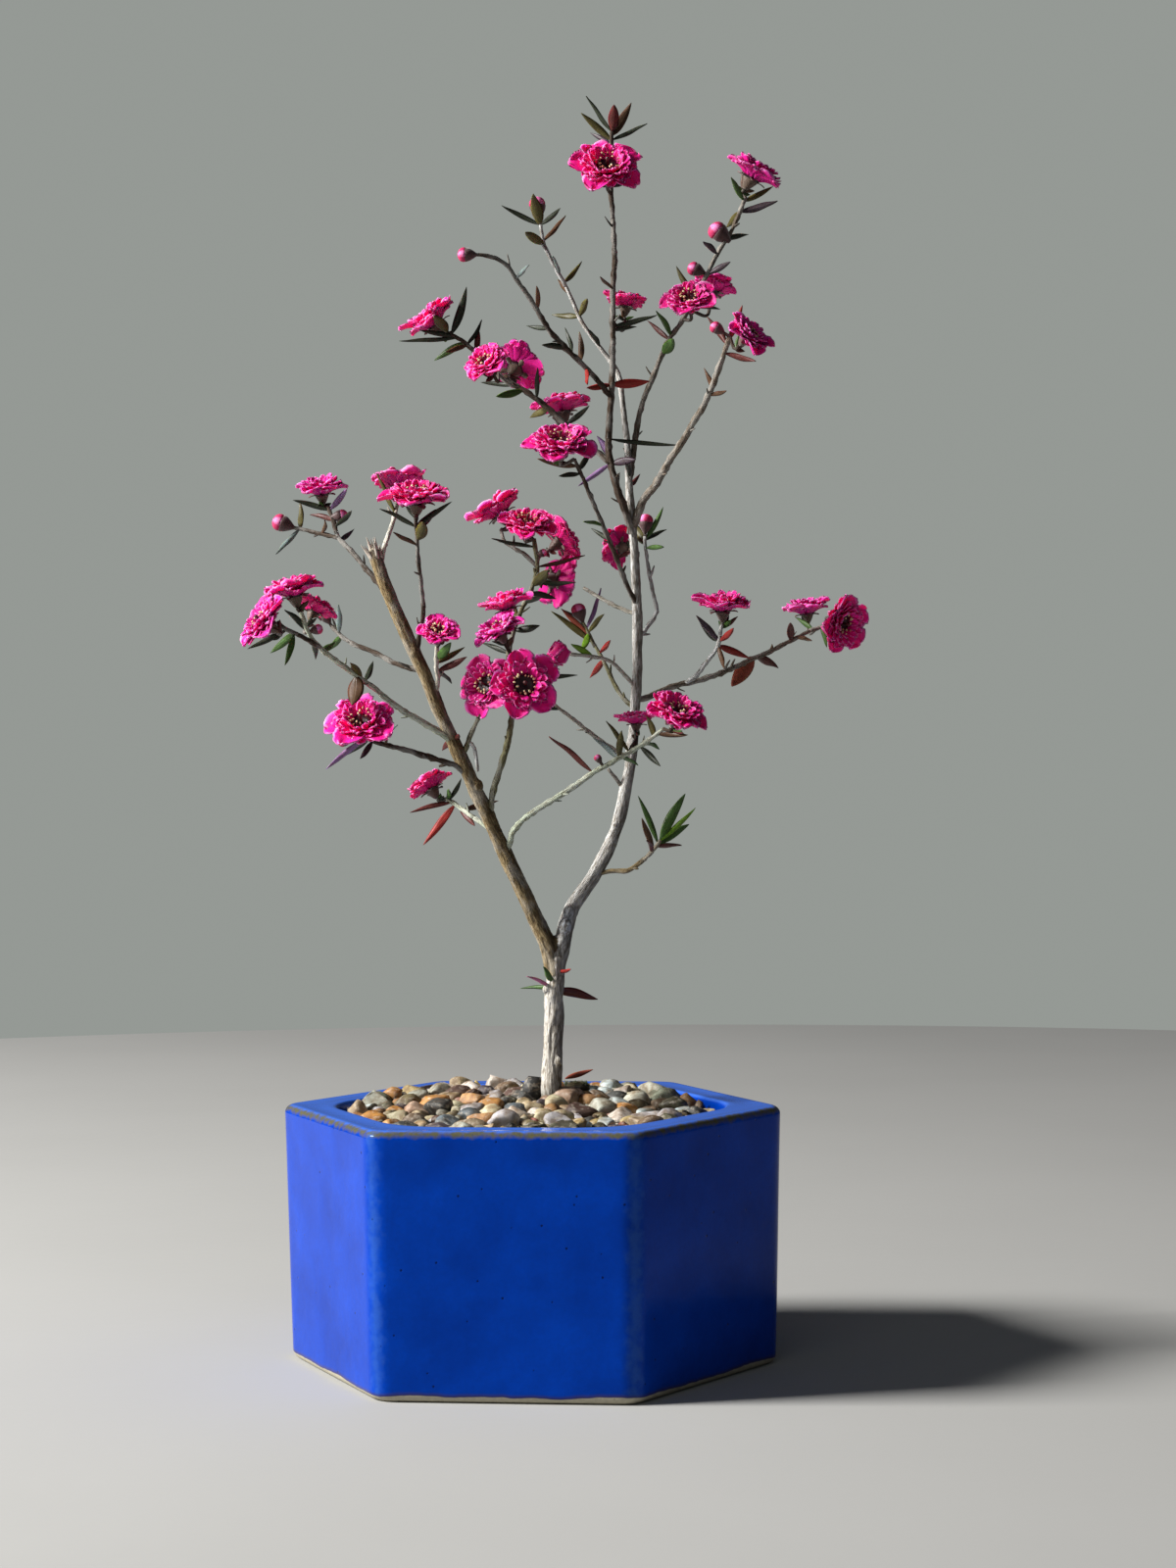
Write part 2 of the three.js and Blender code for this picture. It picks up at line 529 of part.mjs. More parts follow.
    leaves: [[2.5, 190, 14.3, 193, 0.9], [1.8, 187, 12, 186.5, 1.1], [1.5, 186, 5.3, 189.6, 2],
      [0.8, 184, 7.3, 182.6, 1.3], [-0.5, 181.5, 3.6, 183, 1.1], [-2.5, 177, -4.6, 184, 1.6],
      [-3, 175, 3.2, 176.3, 1.4], [-4.3, 169.5, -10.8, 172.3, 1], [2.2, 195.5, -8.3, 197.2, 0.9],
      [-4, 163, 12.3, 164.3, 1.3]],
    buds: [[3.9, 193.6, 1]],
  },
  {
    name: 'middle_side',
    on: 'middle_rise',
    radii: [0.5, 0.45],
    route: [[2.5, 11.8, 190], [0, 14, 193], [-3, 17, 195], [-5.2, 20, 196.6], [-5.9, 22.5, 199.3]],
  },
  {
    name: 'front_bloom_twig',
    on: 'left_limb',
    radii: [0.6, 0.5],
    route: [[-15, -4.4, 145], [-14, -5, 148], [-13, -5.4, 151.5], [-11.3, -5.6, 155],
      [-9.6, -5.2, 158.5]],
  },
  {
    name: 'hanging_twig',
    on: 'front_bloom_twig',
    radii: [0.45, 0.4],
    route: [[-14, -5, 148], [-12.9, -5.6, 147.5], [-12.2, -6, 144.5], [-12, -6.2, 141.5]],
  },
  {
    name: 'stub_bloom_twig',
    on: 'left_limb',
    radii: [0.6, 0.5],
    route: [[-35.3, -6.2, 190], [-34.1, -4, 195], [-33, -2, 198], [-31.5, 2, 202], [-30.6, 5, 206.4]],
    leaves: [[-31.3, 203, -35.5, 213.2, 1.2]],
  },
  {
    name: 'straight_twig',
    on: 'left_limb',
    radii: [0.6, 0.5, 0.45],
    young: 5,
    route: [[-26.5, -7.3, 169.5], [-25.5, -9, 175], [-24.7, -11, 180], [-25.3, -14, 188], [-25.9, -16, 193],
      [-26, -16.8, 196], [-26.3, -17.4, 202]],
    leaves: [[-26, 195.5, -31.8, 198.9, 1], [-26.2, 199.5, -35, 204.6, 1], [-26.1, 197, -24.6, 201.3, 2.3],
      [-26.2, 199.5, -21.5, 204.3, 1.5], [-26.2, 200.3, -17.5, 206.2, 1]],
  },
  {
    name: 'left_high',
    on: 'left_limb',
    radii: [0.75, 0.6, 0.5],
    young: 5,
    route: [[-31.8, -7.2, 181], [-34, -4, 185], [-38.5, 2, 190.5], [-42, 7, 194.7], [-45, 11, 198],
      [-46, 14, 201.5], [-47.2, 16, 205]],
    leaves: [[-46.5, 204, -55.8, 206.8, 1.1], [-46, 202, -51.6, 203.3, 1.1], [-45.8, 200.5, -41.6, 204.2, 1.1],
      [-44.4, 197.4, -41, 199.8, 1], [-46.6, 204, -42.6, 209.6, 1.2]],
    buds: [[-44.4, 202.9, 1.6]],
  },
  {
    name: 'left_bud_twig',
    on: 'left_high',
    radii: [0.5, 0.45],
    route: [[-45, 11.2, 197.8], [-48, 13, 198.5], [-51, 14.5, 199.2], [-55.8, 16, 200.3]],
    leaves: [[-48.5, 198.6, -48.1, 202, 1], [-54, 200, -53.9, 206.5, 1.2], [-54, 199.6, -60, 193.8, 1]],
    buds: [[-58.2, 201.2, 2.1]],
  },
  {
    name: 'left_front',
    on: 'left_limb',
    radii: [0.8, 0.7, 0.6, 0.5],
    young: 8,
    route: [[-18.5, -5.4, 148], [-23, -8, 152], [-29.5, -13, 156], [-33, -16, 158.5], [-36.5, -19, 161.5],
      [-40, -22, 164], [-46, -27, 168.5], [-49, -29, 171], [-51.5, -31, 173.7], [-52.8, -32.5, 176.5],
      [-54, -33.5, 180]],
    leaves: [[-52, 175, -58, 180.6, 1.2], [-51, 173, -50.6, 168.6, 1.2], [-41, 164.7, -42, 157.6, 3.2],
      [-49, 171, -45.8, 173, 1.2], [-39.5, 163.6, -42.4, 167.8, 1.2], [-39, 163.3, -36.8, 168.2, 1.1]],
    buds: [[-50.3, 175.8, 1.2]],
  },
  {
    name: 'left_front_side',
    on: 'left_front',
    radii: [0.55, 0.5],
    young: 2,
    route: [[-49.6, -29.5, 171.6], [-52.5, -32.3, 173.4], [-55, -33.5, 174.7], [-58, -35.5, 176.2],
      [-59.6, -36.5, 177.6]],
    leaves: [[-57, 175.7, -67, 171.2, 1.1], [-56, 175.2, -61.5, 170.2, 1.4], [-55.5, 175, -58, 167.2, 1.2]],
  },
  {
    name: 'left_back',
    on: 'left_limb',
    radii: [0.65, 0.55, 0.5],
    route: [[-26.3, -7.3, 165], [-30, -5, 166.5], [-36, 0, 170], [-42, 5, 172.5], [-44.5, 7, 174.3],
      [-46.6, 9, 176.5]],
    leaves: [[-45.3, 175, -45, 181.8, 1.2], [-44.5, 174.3, -47.5, 170.6, 1.2]],
    buds: [[-48.2, 178.9, 1.5]],
  },
  {
    name: 'left_low',
    on: 'left_limb',
    radii: [0.75, 0.65, 0.55],
    young: 5,
    route: [[-15, -4.4, 140], [-18, -6, 143], [-22, -9, 144.5], [-30, -14, 147], [-34, -17, 148],
      [-37, -19, 149], [-38.8, -20.2, 149.7]],
    leaves: [[-38.5, 149.6, -48.5, 142.2, 1.1], [-38, 149.3, -43.2, 145.7, 1], [-37.5, 149.2, -40.2, 144.7, 1.1],
      [-36.5, 148.8, -31, 152.8, 1.2], [-34, 148, -35, 151, 0.9]],
    buds: [[-43.9, 149, 1.3]],
  },
  {
    name: 'pale_bloom_twig',
    on: 'left_limb',
    radii: [0.55, 0.5],
    route: [[-23, -6.8, 159], [-21.7, -8, 163], [-21.7, -10, 167], [-21.5, -11.5, 171.5]],
    leaves: [[-21.6, 168, -18.2, 172.4, 1.7], [-21.6, 167.5, -14.8, 171.3, 1.1], [-21.7, 166, -14.3, 169, 1.3],
      [-21.7, 165.3, -18, 162.6, 1.5]],
  },
  {
    name: 'low_left_bloom_twig',
    on: 'left_limb',
    radii: [0.6, 0.5],
    young: 2,
    route: [[-8.6, -1.8, 126.5], [-11, 0, 128.7], [-13, 2, 130.3], [-15, 4, 131.8], [-17, 6, 133.3],
      [-19.6, 8, 135]],
    leaves: [[-18, 134, -28.5, 131.7, 1], [-17.5, 133.8, -25.3, 123.8, 1.5], [-16.5, 133, -12.8, 128.4, 1.2],
      [-15.5, 132.5, -7, 134.4, 1.2], [-18.5, 134.5, -16, 139.8, 0.9]],
  },
  {
    name: 'low_right_twig',
    on: 'right_limb',
    radii: [0.6, 0.5],
    young: 4,
    route: [[17, 7.6, 115.5], [20.5, 6.4, 116.8], [23.5, 4.4, 117.2], [26, 2.4, 118.8], [28, 0.6, 120.3],
      [29.3, -0.8, 121.5], [31.6, -2.6, 124.5]],
    leaves: [[31, 124, 26.3, 135.4, 1.1], [31.6, 124.5, 37.8, 135.8, 1.9], [31.5, 124.4, 40.2, 132.4, 1],
      [31, 123.5, 38.6, 128.4, 1.7], [30.3, 122.6, 27.2, 130, 1.2], [30.5, 122.8, 36.8, 123.3, 1.3],
      [29.4, 121.5, 28.3, 124.6, 1.1]],
  },
];

// Each bloom: its number, the branch it grows on, where its stalk leaves that branch as [across, height] if
// not at the tip, its middle as [across, depth, height], the way it faces, its radius, and how far it is open
const BLOOMS = [
  [1, 'leader', [21, 279.5], [20.3, -5, 287], [0, -0.75, 0.65], 8.2, 1],
  [2, 'upper_right', null, [56, 23, 285], [0.52, -0.15, 0.84], 7.7, 0.8],
  [3, 'upper_right', [38.3, 249.5], [39.5, 4, 255], [-0.1, -0.7, 0.7], 6.5, 1],
  [4, 'upper_right', [39.7, 252], [45.5, 22, 257.5], [0.2, 0.2, 0.95], 6, 0.85],
  [5, 'front_right', null, [54.5, -28, 246], [0.6, -0.5, 0.6], 5.8, 0.9],
  [6, 'leader', [21.3, 249], [24.5, 11, 254], [0.1, 0.1, 0.99], 5.5, 0.85],
  [7, 'back_left', null, [-22.8, 20, 250.6], [-0.6, -0.15, 0.78], 7.8, 0.8],
  [8, 'back_left', [-6.5, 237], [-9.5, 3, 240], [-0.4, -0.65, 0.65], 6, 0.9],
  [9, 'back_left', [-2, 233.5], [-1.5, 20, 238.5], [0.3, 0.8, 0.5], 7, 0.9],
  [10, 'back_left', [6.5, 227.4], [8.5, 19, 229.5], [-0.2, 0.1, 0.97], 7.3, 0.85],
  [11, 'upper_middle', null, [8.5, -18, 221.5], [0, -0.5, 0.86], 8.2, 1],
  [12, 'left_high', null, [-49, 16, 210.5], [-0.1, -0.25, 0.96], 6.5, 0.85],
  [13, 'stub_bloom_twig', null, [-30, 8, 211.8], [-0.05, 0.2, 0.97], 7.2, 0.85],
  [14, 'straight_twig', null, [-26, -18, 209], [0.05, -0.3, 0.95], 8.2, 0.95],
  [15, 'left_front', null, [-56, -34, 186.5], [-0.2, -0.15, 0.96], 7, 0.85],
  [16, 'left_front_side', null, [-64.2, -41, 178.6], [-0.74, -0.36, 0.57], 7, 0.95],
  [17, 'left_front', [-52.4, 175.4], [-50.2, -24, 181.4], [0.4, 0.3, 0.87], 5.4, 0.85],
  [18, 'pale_bloom_twig', null, [-21, -15, 175.8], [0, -0.65, 0.76], 5, 0.95],
  [19, 'left_low', null, [-40, -25, 154.5], [-0.1, -0.7, 0.7], 8, 1],
  [20, 'low_left_bloom_twig', null, [-24, 9, 139], [-0.5, 0.2, 0.84], 6.2, 0.8],
  [21, 'middle_side', null, [-7.3, 24, 205], [-0.56, 0.05, 0.83], 7.5, 0.85],
  [22, 'middle_rise', null, [0.5, 8, 202], [0.1, -0.5, 0.86], 7, 1],
  [23, 'middle_rise', [2.5, 190.4], [9.4, 20, 197], [0.7, 0.3, 0.5], 6.3, 0.85],
  [24, 'middle_rise', [1.2, 185], [8, 19, 186.6], [0.65, 0.62, -0.15], 6.8, 0.85],
  [25, 'middle_rise', [-2.6, 176.5], [-5.2, -1, 182.6], [-0.3, -0.1, 0.95], 6.6, 0.85],
  [26, 'middle_rise', [-4.3, 169], [-7.2, -10, 176.4], [-0.4, -0.3, 0.86], 6.3, 0.95],
  [27, 'front_bloom_twig', null, [-10.5, -8, 162.5], [-0.45, -0.85, 0.2], 7, 1],
  [28, 'middle_rise', [-3.8, 157], [-0.5, -17, 162.5], [0.05, -0.97, 0.2], 7.9, 1],
  [29, 'middle_rise', [-4, 163], [6.8, 2, 168.3], [0.6, 0.1, 0.75], 5, 0.1],
  [30, 'right_limb', [26.2, 190], [21.5, 14, 195], [-0.75, 0.6, 0.2], 5.5, 0.85],
  [31, 'right_rise', null, [47, 6, 182], [0, -0.2, 0.97], 7, 0.85],
  [32, 'right_reach', [69.2, 174.9], [67, 36, 180.6], [-0.1, -0.1, 0.97], 6, 0.85],
  [33, 'right_reach', null, [76.6, 23, 176], [0.6, -0.72, -0.25], 7.3, 0.9],
  [34, 'front_middle', [25.5, 146.3], [26, -2.5, 154.3], [0, 0, 1], 5, 0.8],
  [35, 'front_middle', null, [36.4, -19, 156.2], [0.3, -0.55, 0.78], 7.4, 0.95],
];

// Joins the pieces of a node as they are added
function nodeSolids() {
  const nodes = new Map();
  return {
    add(name, piece) {
      if (!nodes.has(name)) {
        nodes.set(name, []);
      }
      nodes.get(name).push(piece);
    },
    entries: () => nodes.entries(),
  };
}

// The node that holds a branch at a given share of its length: the wood, or its own young shoot
function carrier(branch, share) {
  return share > branch.youngFrom ? `shoot_${branch.name}` : 'wood';
}

function branchNamed(wanted) {
  return BRANCHES.find(({ name }) => name === wanted);
}

// Where a thing seen at [across, height] leaves a branch: the nearest point of its middle line
function nearest(branch, across, height) {
  let best = { distance: Infinity };
  for (let i = 0; i <= NEAREST_STEPS; i += 1) {
    const share = i / NEAREST_STEPS;
    const place = pointOn(branch.line, share);
    const distance = place.distanceTo(alongSight(across, place.y, height));
    if (distance < best.distance) {
      best = { distance, share, place };
    }
  }
  return best;
}

function addStretch(nodes, name, branch, from, to, sides) {
  const inner = branch.line.map((point, i) => i / (branch.line.length - 1));
  const shares = [from, ...inner.filter((share) => share > from + 0.01 && share < to - 0.01), to];
  const radii = shares.map((share) => radiusAt(branch.radii, share));
  nodes.add(name, tube(shares.map((share) => pointOn(branch.line, share)), radii, sides));
}

function addBranch(nodes, branch) {
  const sides = branch.radii[0] > 1.5 ? LIMB_SIDES : TWIG_SIDES;
  addStretch(nodes, 'wood', branch, 0, Math.min(1, branch.youngFrom), sides);
  if (branch.young) {
    const length = branch.line.length * TUBE_STEP;
    addStretch(nodes, `shoot_${branch.name}`, branch, branch.youngFrom + 1.5 * CLEARANCE / length, 1, TWIG_SIDES);
  }
}

// A leaf that looks shorter than it is leans towards the front or the back in turn
function addLeaf(nodes, branch, [baseAcross, baseHeight, tipAcross, tipHeight, width], index) {
  const base = nearest(branch, baseAcross, baseHeight);
  const seen = Math.hypot(tipAcross - baseAcross, tipHeight - baseHeight);
  const lean = LEAN_SHARE * Math.sqrt(Math.max(0, LEAF_LENGTH ** 2 - seen ** 2)) * (index % 2 ? 1 : -1);
  const tip = alongSight(tipAcross, base.place.y + lean, tipHeight);
  const rings = width < BROAD_LEAF_WIDTH ? 2 : 3;
  const root = pointOn(branch.line, Math.min(base.share, 1 - ROOT_DEPTH / (TUBE_STEP * branch.line.length)));
  nodes.add(carrier(branch, base.share), blade(root, tip, Math.max(width, LEAF_WIDTH), rings));
}

function addBud(nodes, branch, [across, height, radius]) {
  const base = nearest(branch, across, height);
  const middle = alongSight(across, base.place.y, height);
  const stalk = middle.clone().sub(base.place);
  const bud = new THREE.IcosahedronGeometry(radius, 0).scale(1, 1, BUD_STRETCH);
  bud.applyQuaternion(new THREE.Quaternion().setFromUnitVectors(new THREE.Vector3(0, 0, 1), stalk.normalize()));
  bud.translate(middle.x, middle.y, middle.z);
  nodes.add(carrier(branch, base.share), tube([base.place, middle], [SPUR_RADIUS, SPUR_RADIUS], TWIG_SIDES));
  nodes.add(carrier(branch, base.share), solid(bud));
}

// Blooms: a calyx and centre in one core, a cupped layer of broad outer petals and a steeper inner one

// One layer of petals as a lobed sheet: each petal is a notch, then [distance, turn] points round its edge
function petalLayer(count, notch, edge, rise, radius) {
  const points = [];
  for (let i = 0; i < count; i += 1) {
    for (const [out, turn] of [[notch, 0], ...edge]) {
      const angle = (i + turn) * 2 * Math.PI / count;
      points.push(new THREE.Vector2(Math.cos(angle), Math.sin(angle)).multiplyScalar(out * radius));
    }
  }
  const depth = BLADE_THICKNESS * Math.hypot(1, rise);
  const geometry = new THREE.ExtrudeGeometry(new THREE.Shape(points), { depth, bevelEnabled: false });
  const places = geometry.getAttribute('position');
  for (let i = 0; i < places.count; i += 1) {
    const out = Math.hypot(places.getX(i), places.getY(i));
    places.setZ(i, places.getZ(i) + rise * (out - notch * radius));
  }
  return geometry;
}

function bloomSolid(radius, open) {
  const size = radius / MODEL_BLOOM_RADIUS;
  const profile = [[0, -CALYX_LENGTH], [0.7, -CALYX_LENGTH], [1.9, -0.5], [0.6, 1.2], [0, 1.2]];
  const core = new THREE.LatheGeometry(profile.map(([x, y]) => new THREE.Vector2(x, y).multiplyScalar(size)), 5);
  const outerEdge = [[0.92, 0.15], [1.02, 0.5], [0.92, 0.85]];
  const innerEdge = [[0.64, 0.22], [0.64, 0.78]];
  const outerRise = THREE.MathUtils.lerp(1.6, 0.3, open);
  const innerRise = THREE.MathUtils.lerp(2, 1.1, open);
  const outerReach = THREE.MathUtils.lerp(0.6, 1, open) * radius;
  const outer = petalLayer(PETAL_COUNT, 0.42, outerEdge, outerRise, outerReach);
  const inner = petalLayer(PETAL_COUNT, 0.16, innerEdge, innerRise, outerReach).rotateZ(Math.PI / PETAL_COUNT);
  inner.translate(0, 0, 0.8 * size);
  return joined([core.rotateX(Math.PI / 2), outer, inner].map(solid));
}

function addBloom(nodes, [number, branchName, foot, middle, facing, radius, open]) {
  const branch = branchNamed(branchName);
  const direction = new THREE.Vector3(...facing).normalize();
  const origin = alongSight(...middle).addScaledVector(direction, -BLOOM_DEPTH * radius);
  const calyx = CALYX_LENGTH * radius / MODEL_BLOOM_RADIUS;
  const stalkEnd = origin.clone().addScaledVector(direction, -calyx - CLEARANCE);
  const base = foot ? nearest(branch, ...foot) : { place: branch.line.at(-1), share: 1 };
  const bend = stalkEnd.clone().addScaledVector(direction, -STALK_BEND * stalkEnd.distanceTo(base.place));
  const stalk = tube([base.place, bend, stalkEnd], [SPUR_RADIUS, SPUR_RADIUS], TWIG_SIDES);
  nodes.add(carrier(branch, base.share), stalk);
  const turned = new THREE.Matrix4().lookAt(direction, new THREE.Vector3(), new THREE.Vector3(0, 0.1, 1));
  const placed = turned.setPosition(origin);
  const bloom = bloomSolid(radius, open).transform(placed.elements);
  addMesh(`bloom_${String(number).padStart(2, '0')}`, bloom, '#d4186c', 0.5);
}

function buildPlant() {
  const nodes = nodeSolids();
  for (const branch of BRANCHES) {
    branch.line = middleLine(branch.route.map((point) => alongSight(...point)));
    if (branch.on) {
      const [across, , height] = branch.route[0];
      branch.line[0] = nearest(branchNamed(branch.on), across, height).place;
    }
    branch.youngFrom = Infinity;
    if (branch.young) {
      const [across, , height] = branch.route[branch.young];
      branch.youngFrom = nearest(branch, across, height).share;
    }
    addBranch(nodes, branch);
    (branch.leaves ?? []).forEach((leaf, index) => addLeaf(nodes, branch, leaf, index));
    (branch.buds ?? []).forEach((bud) => addBud(nodes, branch, bud));
  }
  BLOOMS.forEach((bloom) => addBloom(nodes, bloom));
  for (const [name, solids] of nodes.entries()) {
    const isWood = name === 'wood';
    addMesh(name, joined(solids), isWood ? '#9b8f7e' : '#55562c', isWood ? 0.85 : 0.55);
  }
}

buildPot();
buildSoil();
buildLitter(buildGravel());
buildPlant();

export default part;
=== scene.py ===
"""Looks of a flowering tea tree bonsai in a six-sided pot. Lengths are millimetres until a mesh is built."""
import math

import bmesh
import bpy
import numpy as np
from mathutils import Matrix, Vector, noise
from mathutils.kdtree import KDTree


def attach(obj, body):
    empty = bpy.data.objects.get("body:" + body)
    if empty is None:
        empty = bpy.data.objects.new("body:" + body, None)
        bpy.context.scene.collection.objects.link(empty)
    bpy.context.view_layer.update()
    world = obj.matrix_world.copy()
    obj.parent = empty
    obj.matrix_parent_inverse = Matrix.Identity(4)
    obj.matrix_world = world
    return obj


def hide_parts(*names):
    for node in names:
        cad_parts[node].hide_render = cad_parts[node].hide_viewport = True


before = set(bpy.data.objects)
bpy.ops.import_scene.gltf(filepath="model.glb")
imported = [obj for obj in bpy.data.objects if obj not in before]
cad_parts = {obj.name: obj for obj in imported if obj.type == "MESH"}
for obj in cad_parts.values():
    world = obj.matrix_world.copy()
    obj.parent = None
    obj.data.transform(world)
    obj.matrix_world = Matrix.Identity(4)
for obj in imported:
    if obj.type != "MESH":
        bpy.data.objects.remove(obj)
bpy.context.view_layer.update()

MM = 0.001
TAU = 2 * math.pi

# The pot and its filling
POT_INRADIUS = 60.8 * math.cos(TAU / 12)
POT_HEIGHT = 61.4
POT_FOOT_SCALE = 0.975
POT_TURN = -0.1035
POT_EDGE_ROUND = 6
RIM_ROUND = 2
LIP_ROUND = 1.3
OPENING_INRADIUS = 49.65 * math.cos(TAU / 12)
OPENING_EDGE_ROUND = 21
POT_FLOOR = 8
DRAIN_RADIUS = 4
DRAIN_DISTANCE = 22
CLEARANCE = 0.3
SOIL_TOP = 53
BED_TOP = 56.6
MOUND_HEIGHT = 3.6
MOUND_TOP_RADIUS = 10
MOUND_RADIUS = 32
MOUND_MIDDLE = (-4, 6)
STONE_LIFT = 1.9
STONE_SWELL = 1.22
BACK_RISE = 2.3
BOULDER_HEIGHT = 62.8
SEAT_REACH, SEAT_STEP, SEAT_MARGIN = 37, 0.5, 2.5
MOST_STONES = 340
LOOSE_STONES = ((2.6, 3.9, 1500), (1.9, 2.7, 2500), (1.0, 1.7, 3000))  # smallest and largest radius, tries
MOSS_TUFTS = 70

# The plant
LINE_STEP = 1
LEAF_LENGTH = 9.5
CALYX_LENGTH = 3.4
MODEL_BLOOM_RADIUS = 7.5
STALK_RADIUS = 0.42
LIMB_NAMES = ("trunk", "left_limb", "right_limb")
STAMENS = 18
SPUR_SPACING = 9
SPLINTERS = 16
LIMB_SIDES = 16
LIMB_VOXEL = 0.34
WIDE_LEAF = 1.8

# The eye that the front view is laid out for, and the stage
EYE = np.array([14.4, -758, 150.4])
CAMERA_PITCH = 0.92
CAMERA_ROLL = 0.49
CAMERA_LENS = 72.6
SENSOR_WIDTH, FARTHEST = 36, 20
FLOOR_RADIUS = 870
FLOOR_SIDES = 96
WALL = (0.30, 0.32, 0.30, 1)
SKY = (0.30, 0.33, 0.36, 1)
SKY_STRENGTH = 0.18
LIGHT_TARGET = Vector((0, 0, 0.15))

# Tones of the small parts, as linear light
BUD_CUP, BUD_CAP, BUD_SEPAL = (0.075, 0.020, 0.018), (0.50, 0.035, 0.12), (0.085, 0.03, 0.022)
HEART_TONE, PISTIL_TONE, THREAD_TONE = (0.035, 0.004, 0.010), (0.10, 0.02, 0.02), (0.30, 0.03, 0.05)
ANTHER_GOLD, ANTHER_DRY = (0.95, 0.78, 0.46), (0.55, 0.22, 0.12)
CALYX_BROWN, CALYX_OLIVE = np.array([0.10, 0.030, 0.026]), np.array([0.12, 0.085, 0.040])
SCAR_TONE = np.array([0.52, 0.56, 0.62])


def linear(*colour):
    """Eight-bit screen colour as linear light."""
    return tuple((value / 255) ** 2.2 for value in colour)


def table(text):
    """Rows of a text table: commas part the rows, blanks part the values, and a lone dash is None."""
    def value(word):
        if word == "-":
            return None
        return word if word[-1].isalpha() else float(word)
    return [[value(word) for word in row.split()] for row in text.split(",") if row.strip()]


def palette(text):
    """Named tones from a text table."""
    return {name: linear(*colour) for name, *colour in table(text)}


LEAF_TONES = palette("""
    green 58 94 34, lime 104 150 24, olive 78 72 30, dark 24 32 22, maroon 88 16 28, red 150 18 26,
    rust 140 62 48, brown 82 50 32, purple 58 38 58, lilac 140 108 160, silver 120 140 140, pink 198 120 160
""")
BARK_TONES = palette("""
    beige 214 212 206, grey 122 112 100, tan 142 126 94, silver 196 198 198, brown 80 68 58,
    olive 122 120 90, pale 208 204 190, lichen 196 206 184
""")

